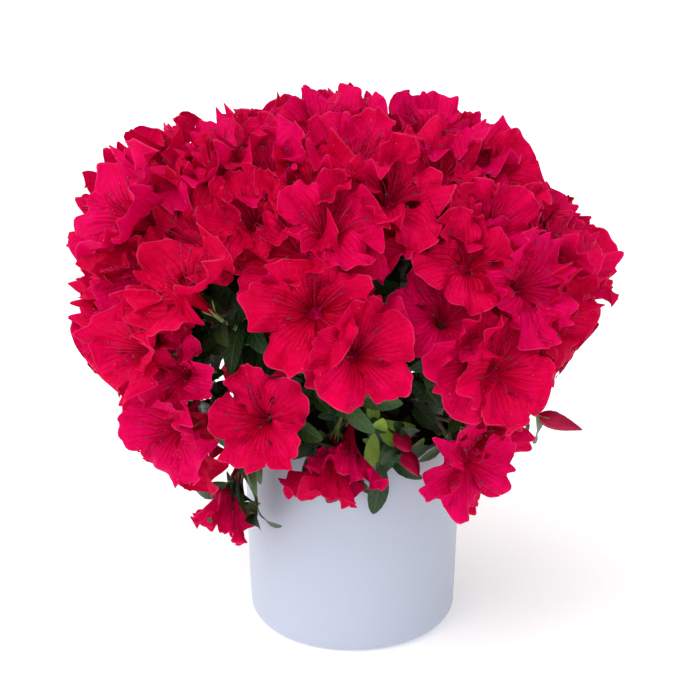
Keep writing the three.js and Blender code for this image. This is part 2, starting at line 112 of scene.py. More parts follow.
def material(name, **settings):
    """A new material, its node tree and its Principled shader, with the constants of that shader."""
    made = bpy.data.materials.new(name)
    made.use_nodes = True
    shader = made.node_tree.nodes["Principled BSDF"]
    for socket, value in settings.items():
        shader.inputs[socket.replace("_", " ")].default_value = value
    return made, made.node_tree, shader


def linked(tree, shader, **sources):
    """Links sockets to the inputs of a shader that they are named after."""
    for socket, source in sources.items():
        tree.links.new(source, shader.inputs[socket.replace("_", " ")])


def mesh_object(name, points, faces, finish, uvs=None):
    """A smooth mesh from arrays of points and of faces that all have as many corners."""
    mesh = bpy.data.meshes.new(name)
    count, corners = faces.shape
    mesh.vertices.add(len(points))
    mesh.vertices.foreach_set("co", np.ascontiguousarray(points, np.float32).ravel())
    mesh.loops.add(count * corners)
    mesh.loops.foreach_set("vertex_index", np.ascontiguousarray(faces, np.int32).ravel())
    mesh.polygons.add(count)
    mesh.polygons.foreach_set("loop_start", np.arange(0, count * corners, corners, dtype=np.int32))
    mesh.update(calc_edges=True)
    if uvs is not None:
        layer = mesh.uv_layers.new(name="OFBake")
        layer.uv.foreach_set("vector", np.ascontiguousarray(uvs[faces.ravel()], np.float32).ravel())
    mesh.shade_smooth()
    mesh.validate()
    made = bpy.data.objects.new(name, mesh)
    made.data.materials.append(finish)
    scene.collection.objects.link(made)
    return made


# The room's walls glow softly, most on the left above the camera, which itself sees them plain white.
BRIGHTEST_WALL = (-0.58, -0.36, 0.73)  # the way to it from the plant
WALL_GLOW = {"From Min": -0.5, "To Min": 0.21, "To Max": 1.56}  # by how far a wall lies that way, -1 to 1
tree = world.node_tree
way = add(tree, "ShaderNodeTexCoord").outputs["Generated"]
that_way = add(tree, "ShaderNodeVectorMath", {0: way, 1: BRIGHTEST_WALL}, operation="DOT_PRODUCT")
glow = add(tree, "ShaderNodeMapRange", {"Value": that_way.outputs["Value"], **WALL_GLOW})
seen = add(tree, "ShaderNodeLightPath").outputs["Is Camera Ray"]
strength = calculate(tree, "MAXIMUM", glow.outputs["Result"], seen)
linked(tree, tree.nodes["Background"], Strength=strength)
tree.nodes["Background"].inputs["Color"].default_value = (1, 1, 1, 1)

white, tree, shader = material("floor_white", Roughness=0.9, Specular_IOR_Level=0.1, Emission_Strength=0.28)
haze = add(tree, "ShaderNodeTexNoise", {"Scale": 0.6})
shade = blended(tree, haze.outputs["Fac"], (0.93, 0.93, 0.93, 1), (0.95, 0.95, 0.95, 1))
linked(tree, shader, Base_Color=shade)
corners = 0.5 * FLOOR_SIZE * np.array([[-1, -1, 0], [1, -1, 0], [1, 1, 0], [-1, 1, 0]])
floor = mesh_object("floor", corners, np.array([[0, 1, 2, 3]]), white)

# ---------------------------------------------------------------- pot
# A florist's cover pot: a plain slip-cast cylinder of white earthenware with a straight rim, hardly tapered,
# and a rounded foot edge. Its satin glaze is slightly blue, with the faint ripple that a glaze has.

pot_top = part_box("pot")[1]
POT_HEIGHT = pot_top.z
RIM_RADIUS = pot_top.x
FOOT_RADIUS = 0.0785
WALL = 0.005
POT_FLOOR = 0.008
FOOT_ROUND = 0.0115
LIP_ROUND = 0.0016
POT_SIDES = 144
MIDDLE = 0.0002  # radius at which a turned outline ends


def arc(x, y, radius, start, end, steps):
    """Points of an arc in a turned outline, between two angles in degrees."""
    angles = np.radians(np.linspace(start, end, steps + 1))
    return np.stack([x + radius * np.cos(angles), y + radius * np.sin(angles)], 1)


def grid_faces(rows, columns, closed=False):
    """Four-cornered faces of a grid of points, row by row. A closed grid's last column meets its first."""
    last = columns if closed else columns - 1
    row, column = np.meshgrid(np.arange(rows - 1), np.arange(last), indexing="ij")
    after = (column + 1) % columns
    here, there = row * columns, (row + 1) * columns
    return np.stack([here + column, here + after, there + after, there + column], -1).reshape(-1, 4)


def turned(outline, sides):
    """Points and faces of an outline of radii and heights that is turned about Z."""
    angles = np.linspace(0, 2 * math.pi, sides, endpoint=False)
    radii, heights = outline[:, 0, None], outline[:, 1, None]
    rings = [radii * np.cos(angles), radii * np.sin(angles), heights + 0 * angles]
    return np.stack(rings, -1).reshape(-1, 3), grid_faces(len(outline), sides, closed=True)


def inner_radius(height):
    """The radius inside the pot's wall at a height."""
    return FOOT_RADIUS + (RIM_RADIUS - FOOT_RADIUS) * height / POT_HEIGHT - WALL


def noise(tree, place, scale, detail=2):
    """A cloudy value that changes from place to place."""
    return add(tree, "ShaderNodeTexNoise", {"Vector": place, "Scale": scale, "Detail": detail}).outputs["Fac"]


def ranged(tree, value, **limits):
    """A value carried from one range to another. Limits that aren't given are 0 and 1."""
    limits = {name.replace("_", " "): limit for name, limit in limits.items()}
    return add(tree, "ShaderNodeMapRange", {"Value": value, **limits}).outputs["Result"]


def bumped(tree, height, strength, distance):
    """The normal of a surface that has a fine relief."""
    bump = add(tree, "ShaderNodeBump", {"Height": height, "Strength": strength, "Distance": distance})
    return bump.outputs["Normal"]


lip_height = POT_HEIGHT - LIP_ROUND
taper = RIM_RADIUS - FOOT_RADIUS
pot_outline = np.concatenate(
    [
        [[radius, 0] for radius in (MIDDLE, 0.03, 0.055)],
        arc(FOOT_RADIUS - FOOT_ROUND, FOOT_ROUND, FOOT_ROUND, -90, 0, 14),
        [[FOOT_RADIUS + taper * share, share * POT_HEIGHT] for share in (0.2, 0.4, 0.6, 0.8)],
        arc(RIM_RADIUS - LIP_ROUND, lip_height, LIP_ROUND, 0, 90, 6),
        arc(RIM_RADIUS - WALL + LIP_ROUND, lip_height, LIP_ROUND, 90, 180, 6),
        [[inner_radius(height), height] for height in (0.12, 0.08, 0.04)],
        arc(inner_radius(POT_FLOOR) - FOOT_ROUND, POT_FLOOR + FOOT_ROUND, FOOT_ROUND, 0, -90, 6),
        [[MIDDLE, POT_FLOOR]],
    ]
)

glaze, tree, shader = material("satin_glaze", Coat_Weight=0.25, Coat_Roughness=0.3, IOR=1.5)
body = add(tree, "ShaderNodeTexCoord").outputs["Object"]
cloud = noise(tree, body, 14, 3)
tint = blended(tree, cloud, (0.435, 0.485, 0.595, 1), (0.465, 0.515, 0.625, 1))
satin = ranged(tree, cloud, To_Min=0.38, To_Max=0.5)
ripple = bumped(tree, noise(tree, body, 160), 0.06, 0.0006)
linked(tree, shader, Base_Color=tint, Roughness=satin, Normal=ripple)

pot = mesh_object("glazed_pot", *turned(pot_outline, POT_SIDES), glaze)
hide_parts("pot")
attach(pot, "root")

# ---------------------------------------------------------------- potting mix
# The pot is filled with a moist, dark peat mix, mounded a little round the stem. Crumbs of composted bark lie
# loose on it.

MIX_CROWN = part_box("potting_mix")[1].z
MIX_SHOULDER = 0.1533
MIX_EDGE = 0.148
MIX_GAP = 0.0003
MIX_FLAT = 0.015  # radius of the flat round the stem
MIX_ROUND = 0.001
CRUMBS = 420
CRUMB_SIZE = 0.0032


def mix_height(radius):
    """How high the mix stands at a distance from the middle."""
    radii = [MIX_FLAT, 0.6 * RIM_RADIUS, RIM_RADIUS - WALL]
    return np.interp(radius, radii, [MIX_CROWN, MIX_SHOULDER, MIX_EDGE])


def lumps(x, y, size):
    """A gentle repeatable unevenness between -1 and 1."""
    one = np.sin(x / size + 1.3 * np.sin(y / size)) * np.cos(y / size - 0.7 * np.sin(x / size))
    two = np.sin(2.7 * x / size + 4 + np.cos(3.1 * y / size)) * np.sin(3.3 * y / size)
    return 0.65 * one + 0.35 * two


bottom = POT_FLOOR + MIX_GAP
inside = inner_radius(bottom) - MIX_GAP
edge_radius = inner_radius(MIX_EDGE) - MIX_GAP
mix_outline = np.concatenate(
    [
        [[MIDDLE, bottom]],
        arc(inside - FOOT_ROUND, bottom + FOOT_ROUND, FOOT_ROUND, -90, 0, 5),
        [[edge_radius, MIX_EDGE - MIX_ROUND]],
        [[radius, mix_height(radius)] for radius in np.linspace(edge_radius, MIDDLE, 44)],
    ]
)
points, faces = turned(mix_outline, 120)
spread = np.hypot(points[:, 0], points[:, 1])
loose = (points[:, 2] > MIX_EDGE - 0.5 * MIX_ROUND) * np.clip((spread - MIX_FLAT) / 0.01, 0, 1)
points[:, 2] += loose * (0.0011 * lumps(points[:, 0], points[:, 1], 0.006) - 0.0009)
points[:, 2] += loose * 0.0006 * lumps(points[:, 1], points[:, 0], 0.0016)

peat, tree, shader = material("peat_mix")
place = add(tree, "ShaderNodeTexCoord").outputs["Object"]
fibre = noise(tree, place, 420, 4)
earth = add(tree, "ShaderNodeValToRGB", {"Fac": fibre})
earth.color_ramp.elements[0].color = (0.006, 0.004, 0.003, 1)
earth.color_ramp.elements[1].color = (0.06, 0.036, 0.022, 1)
damp = ranged(tree, fibre, To_Min=0.55, To_Max=0.95)
grit = bumped(tree, fibre, 0.9, 0.002)
linked(tree, shader, Base_Color=earth.outputs["Color"], Roughness=damp, Normal=grit)

mix = mesh_object("peat", points, faces, peat)
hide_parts("potting_mix")
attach(mix, "root")


def draws(seed):
    """A repeatable stream of numbers: the same seed always draws the same ones."""
    state = (seed * 2654435761) % 4294967296

    def draw(low, high):
        nonlocal state
        state = (state * 1664525 + 1013904223) % 4294967296
        return low + (high - low) * state / 4294967296

    return draw


def unit(vectors):
    """Vectors at length 1."""
    return vectors / np.linalg.norm(vectors, axis=-1, keepdims=True)


CUBE = np.array([[x, y, z] for z in (-1, 1) for y in (-1, 1) for x in (-1, 1)], float)
CUBE_FACES = np.array([[0, 2, 3, 1], [4, 5, 7, 6], [0, 1, 5, 4], [2, 6, 7, 3], [0, 4, 6, 2], [1, 3, 7, 5]])
chips = []
for number in range(CRUMBS):
    draw = draws(7000 + number)
    radius = (RIM_RADIUS - WALL - 0.004) * math.sqrt(draw(0.03, 1))
    angle = draw(0, 2 * math.pi)
    size = CRUMB_SIZE * draw(0.25, 1) * np.array([1, draw(0.35, 0.9), draw(0.12, 0.4)])
    chip = CUBE * [1 + draw(-0.3, 0.3) for corner in range(3)]
    chip = chip + [[draw(-0.4, 0.4)] * 3 for corner in range(8)]
    spin, tilt = draw(0, math.pi), draw(-0.5, 0.5)
    turn = np.array([[math.cos(spin), -math.sin(spin), 0], [math.sin(spin), math.cos(spin), 0], [0, 0, 1]])
    lean = np.array([[math.cos(tilt), 0, math.sin(tilt)], [0, 1, 0], [-math.sin(tilt), 0, math.cos(tilt)]])
    rest = [radius * math.cos(angle), radius * math.sin(angle), float(mix_height(radius)) + 0.3 * size[2]]
    chips.append((0.5 * chip * size) @ (turn @ lean).T + rest)

crumb_bark, tree, shader = material("composted_bark", Roughness=0.9)
place = add(tree, "ShaderNodeTexCoord").outputs["Object"]
patch = noise(tree, place, 130, 3)
linked(tree, shader, Base_Color=blended(tree, patch, (0.012, 0.007, 0.004, 1), (0.17, 0.085, 0.04, 1)))
crumbs = mesh_object(
    "bark_crumbs",
    np.concatenate(chips),
    np.concatenate([CUBE_FACES + 8 * number for number in range(CRUMBS)]),
    crumb_bark,
)
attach(crumbs, "root")

# ---------------------------------------------------------------- stem and boughs
# One short woody stem stands on the mix, with a root flare, and forks into boughs. Each bough leaves the stem
# or another bough and ends where a mass of twigs takes over. The bark is thin, grey-brown and finely cracked.

HEART = np.array([0, 0, 0.215])  # the point that the whole crown radiates from
UP = np.array([0.0, 0, 1])
STEM_TOP = np.array([-0.004, 0.003, 0.206])
STEM_RADII = {0: 0.012, 0.25: 0.0086, 1: 0.0062}  # by share of the length
BOUGH_RADIUS = 0.0043
SIDE_BOUGH_RADIUS = 0.0032
BOUGH_TIP_RADIUS = 0.0023
BOUGH_BEND = 0.45  # how far before its end a bough bends into its mass's own line
MASS_START = 0.4  # share of a mass's reach at which its own stem begins

# Each mass: where it points from the heart (azimuth 0 is the front and 90 the right, degrees), how far its
# blooms reach, the limb that its bough leaves, and where on it, as a share of that limb's length.
MASSES = [
    ("top", -30, 85, 0.206, "stem", 1),
    ("upper_front", -8, 52, 0.200, "stem", 0.8),
    ("upper_left", -82, 43, 0.235, "stem", 0.76),
    ("upper_right", 80, 60, 0.208, "stem", 0.84),
    ("upper_back_right", 142, 48, 0.206, "stem", 0.72),
    ("upper_back_left", -148, 47, 0.212, "stem", 0.86),
    ("left", -92, 12, 0.214, "upper_left", 0.3),
    ("front_left", -46, 23, 0.206, "upper_front", 0.3),
    ("front", -2, 24, 0.192, "upper_front", 0.5),
    ("front_right", 41, 23, 0.198, "upper_right", 0.3),
    ("right", 86, 26, 0.210, "upper_right", 0.5),
    ("back_right", 131, 11, 0.200, "upper_back_right", 0.5),
    ("back", 176, 12, 0.200, "upper_back_right", 0.3),
    ("back_left", -136, 10, 0.204, "upper_back_left", 0.4),
    ("low_left", -55, -11, 0.190, "stem", 0.5),
    ("low_front", -28, -6, 0.166, "stem", 0.62),
    ("low_right", 39, -15, 0.166, "stem", 0.48),
    ("side_right", 86, -12, 0.158, "stem", 0.6),
    ("hanging_left", -49, -40, 0.168, "stem", 0.3),
    ("rim_front", -8, -22, 0.134, "stem", 0.4),
    ("rim_right", 18, -21, 0.116, "stem", 0.28),
    ("low_back_right", 136, -17, 0.172, "stem", 0.52),
    ("low_back_left", -158, -17, 0.172, "stem", 0.36),
]
NAMES = [mass[0] for mass in MASSES]
REACHES = np.array([mass[3] for mass in MASSES])


def pointing(azimuth, elevation):
    """Unit vector at an azimuth, 0 towards the front and 90 to the right, and an elevation, in degrees."""
    a, e = math.radians(azimuth), math.radians(elevation)
    return np.array([math.sin(a) * math.cos(e), -math.cos(a) * math.cos(e), math.sin(e)])


def across(direction):
    """Two unit vectors square to a direction and to each other."""
    one = unit(np.cross([1.0, 0, 0] if abs(direction[2]) > 0.98 else UP, direction))
    return one, unit(np.cross(direction, one))


def bezier(start, bend, end, shares):
    """Points of a quadratic curve at shares of its length."""
    shares = np.asarray(shares, float)[:, None]
    return (1 - shares) ** 2 * start + 2 * shares * (1 - shares) * bend + shares**2 * end


def tube(path, radii, sides):
    """Points and faces of a tapering tube along a path. Each point has one radius, or one for each side."""
    along = unit(np.gradient(path, axis=0))
    rings, side = [], across(along[0])[0]
    angles = np.linspace(0, 2 * math.pi, sides, endpoint=False)
    for centre, way, radius in zip(path, along, radii):
        side = unit(side - np.dot(side, way) * way)
        other = np.cross(way, side)
        ring = np.outer(np.cos(angles), side) + np.outer(np.sin(angles), other)
        rings.append(centre + np.reshape(radius, (-1, 1)) * ring)
    return np.concatenate(rings), grid_faces(len(path), sides, closed=True)


def joined(parts):
    """Points, faces and map places of many small meshes, as one."""
    starts = np.cumsum([0] + [len(part[0]) for part in parts[:-1]])
    arrays = [np.concatenate([part[0] for part in parts])]
    arrays.append(np.concatenate([part[1] + start for part, start in zip(parts, starts)]))
    if len(parts[0]) > 2:
        arrays.append(np.concatenate([part[2] for part in parts]))
    return arrays


DIRECTIONS = np.array([pointing(mass[1], mass[2]) for mass in MASSES])


def along_mass(index, share):
    """The point on a mass's own line at a share of its reach."""
    return HEART + DIRECTIONS[index] * REACHES[index] * share


stem_foot = np.array([0, 0, MIX_CROWN + MIX_GAP])
stem_bend = np.array([0, 0, 0.6 * MIX_CROWN + 0.4 * STEM_TOP[2]])
limbs = {"stem": (stem_foot, stem_bend, STEM_TOP)}
for index, (name, azimuth, elevation, reach, parent, at) in enumerate(MASSES):
    start = bezier(*limbs[parent], [at])[0]
    end = along_mass(index, MASS_START) - MIX_GAP * DIRECTIONS[index]
    bend = end - BOUGH_BEND * np.linalg.norm(start - end) * DIRECTIONS[index]
    limbs[name] = (start, bend, end)


def barky(path, radii, sides, seed):
    """A tube whose surface has the long ridges and knots of bark."""
    draw = draws(seed)
    angles = np.linspace(0, 2 * math.pi, sides, endpoint=False)
    run = np.concatenate([[0], np.cumsum(np.linalg.norm(np.diff(path, axis=0), axis=1))])[:, None]
    relief = 0.05 * np.sin(3 * angles + 160 * run + draw(0, 6))
    relief = relief + 0.05 * np.sin(7 * angles + 90 * run + draw(0, 6) + np.sin(430 * run))
    relief = relief + 0.04 * np.sin(11 * angles - 210 * run + draw(0, 6))
    relief = relief + 0.05 * np.sin(520 * run + draw(0, 6) + np.cos(angles))
    return tube(path, np.asarray(radii)[:, None] * (1 + relief), sides)


def pattern_group(name, colours, results):
    """A new shader node group: its tree, the sockets of its given colours, and the node of its results."""
    tree = bpy.data.node_groups.new(name, "ShaderNodeTree")
    for socket in colours:
        tree.interface.new_socket(name=socket, in_out="INPUT", socket_type="NodeSocketColor")
    for socket in results:
        kind = "NodeSocketColor" if socket == "Color" else "NodeSocketFloat"
        tree.interface.new_socket(name=socket, in_out="OUTPUT", socket_type=kind)
    return tree, add(tree, "NodeGroupInput").outputs, add(tree, "NodeGroupOutput")


def patterned(name, group, colours, strength, relief, **settings):
    """A material whose colour, relief and any roughness come from a node group that is given its colours."""
    made, tree, shader = material(name, **settings)
    pattern = add(tree, "ShaderNodeGroup", node_tree=group)
    for socket, colour in zip(pattern.inputs, colours):
        socket.default_value = colour
    surface = {"Base_Color": pattern.outputs["Color"]}
    if "Roughness" in pattern.outputs:
        surface["Roughness"] = pattern.outputs["Roughness"]
    linked(tree, shader, Normal=bumped(tree, pattern.outputs["Height"], strength, relief), **surface)
    return made, tree, shader, pattern


def bark_pattern():
    """The colour and the relief of thin woody bark, from two colours."""
    tree, given, result = pattern_group("bark_pattern", ("Furrow", "Ridge"), ("Color", "Height"))
    place = add(tree, "ShaderNodeTexCoord").outputs["Object"]
    long = add(tree, "ShaderNodeMapping", {"Vector": place, "Scale": (1, 1, 0.3)}).outputs["Vector"]
    flake = noise(tree, long, 420, 5)
    both = calculate(tree, "MULTIPLY", flake, 0.6)
    both = calculate(tree, "MULTIPLY_ADD", noise(tree, place, 60), 0.5, both)
    spread = ranged(tree, both, From_Min=0.35, From_Max=0.75)
    linked(tree, result, Color=blended(tree, spread, given["Furrow"], given["Ridge"]), Height=flake)
    return tree


bark_group = bark_pattern()

shares = np.linspace(0, 1, 48)
radii = np.interp(shares, list(STEM_RADII), list(STEM_RADII.values()))
radii[-3:] *= [0.9, 0.6, 0.05]  # rounded off at the fork
bark_colours = (0.028, 0.018, 0.012, 1), (0.19, 0.14, 0.10, 1)
old_bark = patterned("old_bark", bark_group, bark_colours, 0.8, 0.0012, Roughness=0.9)[0]
stem = mesh_object("woody_stem", *barky(bezier(*limbs["stem"], shares), radii, 28, 50), old_bark)
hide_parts("stem")
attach(stem, "root")

bough_parts = []
for index, (name, azimuth, elevation, reach, parent, at) in enumerate(MASSES):
    shares = np.linspace(0, 1, 34)
    thick = BOUGH_RADIUS if parent == "stem" else SIDE_BOUGH_RADIUS
    radii = thick + (BOUGH_TIP_RADIUS - thick) * shares
    bough_parts.append(barky(bezier(*limbs[name], shares), radii, 14, 60 + index))
boughs = mesh_object("boughs", *joined(bough_parts), old_bark)
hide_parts(*[f"bough_{name}" for name in NAMES])
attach(boughs, "root")

# ---------------------------------------------------------------- twigs
# In each mass twigs leave its stem one after another, each from the nearest wood that has grown before it,
# and end in a bloom, a bud or a tuft of leaves. Finer twigs inside the crown end in leaves. A mass keeps to
# its own wedge of the crown, and its twigs stay clear of the pot.

STEM_END = 0.58  # share of the reach at which a mass's stem ends
MASS_STEM_RADIUS = 0.0022
TWIG_RADIUS = 0.0013
EDGE_DIP = 0.1  # how far the outline falls back at a mass's edge, as a share of the reach
MASS_SPREAD = 24  # degrees from a mass's middle to its edge
MARGIN = 0.0005  # what a mass leaves free along the borders of its wedge
NEIGHBOURLY = 0.012  # how far a twig may pass into the next mass
GOLDEN = 137.508  # degrees from one tip, or one leaf, to the next
CROWN_BLOOMS = 110
CROWN_LOWEST = -14  # degrees above the level of the heart
CROWN_START = 20
CROWN_WANDER = 3
DEPTH_WANDER = 0.009
BLOOM_RADIUS = 0.045
SIZE_WANDER = 0.08
FULL_REACH = 0.205  # a bloom that reaches further is larger, and a nearer one smaller
BLOOM_DEPTH = 0.72  # from the foot of the tube to the open face, as a share of the radius
BLOOM_ROOM = 0.35  # what a bloom keeps from the border of its wedge, as a share of the radius
FACING_SPREAD = 0.42  # how far a bloom reaches outwards where it faces outwards, as a share of its radius
SIDE_SPREAD = 0.85  # how much further one reaches that faces aside
MOST_BACK = 0.5  # how far growth is drawn back from the outline at most, as a share of its reach
LIFT = 0.12  # how much blooms turn up towards the light
HANG = 0.6  # how much half-open ones turn down
NOD = 0.26  # how far they turn aside
OPEN_SIZE = 1.12  # of the lobes' spread to the bloom's radius
HALF_OPEN_SIZES = {"rim_front": 0.043, "hanging_left": 0.050}
SIZES = {"open": 1, "half": 0.82, "buds": 0.42, "leafy": 0.45, "young": 0.45, "tuft": 0.45}
SLIM_TUFT = 0.8  # of a leafy tuft's twig to the others
STEM_PULL = 0.35  # how much a twig rather leaves wood near the foot of its mass
FORK_SHARE = 0.6  # share of a twig at which later ones leave it

LEAFY_KINDS = ("leafy", "young", "tuft")
FACE_START = 0.4  # the space that a bloom's open face takes, in parts of its size
FACE_END = 1.25
FACE_WIDTH = 0.8

# The low masses have growth of their own, spread over some degrees round their middle.
LOW_GROWTH = {
    "low_left": (10, {"open": 3}),
    "low_front": (10, {"open": 1, "leafy": 3}),
    "low_right": (14, {"open": 3, "leafy": 1}),
    "side_right": (12, {"open": 2, "leafy": 2, "buds": 1}),
    "hanging_left": (9, {"half": 1, "leafy": 2}),
    "rim_front": (10, {"half": 2, "leafy": 2}),
    "rim_right": (13, {"buds": 2, "leafy": 2, "young": 2}),
    "low_back_right": (15, {"open": 3, "leafy": 1}),
    "low_back_left": (16, {"open": 3, "leafy": 1}),
}
GROUP_TURN = 70  # degrees that each group is turned on from the one before it
FRONT_LEFT_BLOOM = (-23, 1)  # azimuth and elevation of the open bloom of low_front, over the rim
SIDE_BUD_STANDS_OUT = 0.021

# Blooms that fill in where the crown would be left bare: how many places are tried, and what they keep free.
FILLERS = 260
FILL_LOWEST = -0.15  # sine of the lowest elevation
FILL_SPACE = 11  # degrees to the nearest bloom
FILL_BACK = (0.016, 0.004)  # how far they stand back at most and at least
FILL_EDGE = 0.5

# The finer growth between the first tips: what it is, how many there are, and how far they stand back at most
# and at least.
FINER_GROWTH = [
    ("open", 76, 0.026, 0.008),
    ("tuft", 150, 0.078, 0.042),
]
FINER_TURN = 68  # degrees that each kind is turned on from the one before it

# How far the crown reaches to each side, seen from the front and a little above: degrees up from the right,
# and metres from the heart.
CROWN_OUTLINE = {
    -60: 0.150, -30: 0.146, -8: 0.140, 0: 0.155, 12: 0.194, 24: 0.210, 39: 0.178, 58: 0.205, 70: 0.196,
    82: 0.180, 96: 0.192, 107: 0.192, 111: 0.180, 116: 0.205, 128: 0.205, 141: 0.240, 156: 0.218, 174: 0.210,
    191: 0.165, 201: 0.180, 214: 0.154, 231: 0.168,
}
BACK_REACH = 0.202  # how far lobes reach back before they bend

# Where leaves and wood show between the blooms: azimuth, elevation and half-width of the place, in degrees.
OPEN_PLACE_DEPTHS = (0.045, 0.024)  # how far leaves stand back there, at most and at least
OPEN_PLACES = [(6, 3, 16), (-9, 9, 8), (-31, 15, 12), (5, 31, 8), (17, 15, 9)]

BORDERS = [
    unit(direction - np.delete(DIRECTIONS, index, axis=0)) for index, direction in enumerate(DIRECTIONS)
]


def leaning(axis, lean, turn):
    """The direction that leans from an axis by some degrees, turned round it by others."""
    one, two = across(axis)
    lean, turn = math.radians(lean), math.radians(turn)
    return math.cos(lean) * axis + math.sin(lean) * (math.cos(turn) * one + math.sin(turn) * two)


def held_inside(point, home, borders, depth):
    """A point drawn back towards home, which lies within the borders, until it is inside by some depth."""
    room = borders @ (home - HEART) - MARGIN - depth
    gone = borders @ (home - point)
    shares = [max(left / far, 0) for left, far in zip(room, gone) if far > left]
    return home + (point - home) * min(shares, default=1)


def clear_of_pot(points, clearance=0.0025):
    """Which points are clear of the pot and the mix."""
    points = np.atleast_2d(points)
    out, height = np.hypot(points[:, 0], points[:, 1]), points[:, 2]
    past = (height > POT_HEIGHT + clearance) | (out > RIM_RADIUS + clearance)
    return past | ((out < RIM_RADIUS - WALL - 2 * clearance) & (height > MIX_CROWN + clearance))


def seen_reach(points):
    """How far points stand out to the side as the crown is seen, and how far its outline goes there."""
    rise = CAMERA_RISE
    aside = points[..., 0]
    high = (points - HEART) @ np.array([0, math.sin(rise), math.cos(rise)])
    nearer = (points - HEART) @ np.array([0, -math.cos(rise), math.sin(rise)]) / CAMERA_DISTANCE
    angles = np.degrees(np.arctan2(high, aside))
    outline = np.interp(angles, list(CROWN_OUTLINE), list(CROWN_OUTLINE.values()), period=360)
    return np.hypot(aside, high) / (1 - nearer), outline


def in_open_place(direction):
    """Whether a direction lies where leaves and wood show."""
    return any(pointing(a, e) @ direction > math.cos(math.radians(wide)) for a, e, wide in OPEN_PLACES)


def growth(index, kind, direction, edge, draw, back=DEPTH_WANDER, least=-0.4 * DEPTH_WANDER):
    """Growth at the end of a twig: what it is, its direction from the heart, and how far it reaches."""
    reach = REACHES[index] * (1 - EDGE_DIP * edge * edge) + draw(-back, -least)
    return {"kind": kind, "draw": draw, "direction": direction, "reach": reach}


def dealt(count, offset, seed, kind, depths, low):
    """Growth that is dealt evenly over the crown. Each goes to the mass that it lies in."""
    lowest = math.sin(math.radians(CROWN_LOWEST))
    for number in range(count):
        draw = draws(seed + number)
        elevation = math.degrees(math.asin(lowest + (1 - lowest) * (number + 0.5) / count))
        sideways = draw(-CROWN_WANDER, CROWN_WANDER) / math.cos(math.radians(elevation))
        upwards = draw(-CROWN_WANDER, CROWN_WANDER)
        direction = pointing(CROWN_START + offset + GOLDEN * number + sideways, elevation + upwards)
        index = int(np.argmax(DIRECTIONS @ direction))
        edge = math.degrees(math.acos(min(1, DIRECTIONS[index] @ direction))) / MASS_SPREAD
        if low or NAMES[index] not in LOW_GROWTH:
            if kind == "open" and in_open_place(direction):
                growths[index].append(growth(index, "tuft", direction, edge, draw, *OPEN_PLACE_DEPTHS))
            else:
                growths[index].append(growth(index, kind, direction, edge, draw, *depths))


growths = [[] for mass in MASSES]
for index, name in enumerate(NAMES):
    if name in LOW_GROWTH:
        spread, counts = LOW_GROWTH[name]
        kinds = [kind for kind, count in counts.items() for number in range(count)]
        for number, kind in enumerate(kinds):
            edge = math.sqrt((number + 0.4) / len(kinds))
            direction = leaning(DIRECTIONS[index], edge * spread, GOLDEN * number + GROUP_TURN * index)
            if name == "low_front" and kind == "open":
                direction = pointing(*FRONT_LEFT_BLOOM)
            grown = growth(index, kind, direction, edge, draws(1000 * index + number))
            if kind == "buds" and name == "side_right":
                grown["reach"] += SIDE_BUD_STANDS_OUT
            growths[index].append(grown)
dealt(CROWN_BLOOMS, 0, 0, "open", (), low=False)
for layer, (kind, count, most, least) in enumerate(FINER_GROWTH):
    dealt(count, FINER_TURN * (layer + 1), 300 * (layer + 1), kind, (most, least), low=kind == "tuft")


def tip_of(grown, index):
    """Where a twig ends, which way it faces there, and the size of what it carries."""
    draw, kind, direction, reach = grown["draw"], grown["kind"], grown["direction"], grown["reach"]
    radius = BLOOM_RADIUS * SIZES[kind] * (1 + draw(-SIZE_WANDER, SIZE_WANDER)) * reach / FULL_REACH
    nod = NOD * np.array([draw(-1, 1), draw(-1, 1), draw(-1, 1)])
    axis = unit(direction + UP * (-HANG if kind == "half" else LIFT) + nod)
    home = along_mass(index, 1)
    centre = held_inside(HEART + direction * reach, home, BORDERS[index], BLOOM_ROOM * radius)
    far, outline = seen_reach(centre)
    aside = math.sqrt(max(0, 1 - np.dot(unit(centre - HEART), axis) ** 2))
    spread = radius * (FACING_SPREAD + SIDE_SPREAD * aside)
    if kind != "buds":
        centre = centre - (centre - HEART) * np.clip((far + spread - outline) / far, 0, MOST_BACK)
    if kind == "open":
        size = OPEN_SIZE * radius
    else:
        size = HALF_OPEN_SIZES[NAMES[index]] if kind == "half" else radius
    return {
        "kind": kind,
        "draw": draw,
        "radius": radius,
        "size": size,
        "axis": axis,
        "base": centre - axis * BLOOM_DEPTH * size,
        "direction": unit(centre - HEART),
    }


def lifted_over_rim(point):
    """The end of a low stem, carried up over the pot's rim, and out past it where it lies near."""
    out = math.hypot(point[0], point[1])
    share = max(out, RIM_RADIUS + 0.004) / out if out > 0.8 * RIM_RADIUS else 1
    return np.array([point[0] * share, point[1] * share, max(point[2], POT_HEIGHT + 0.008)])


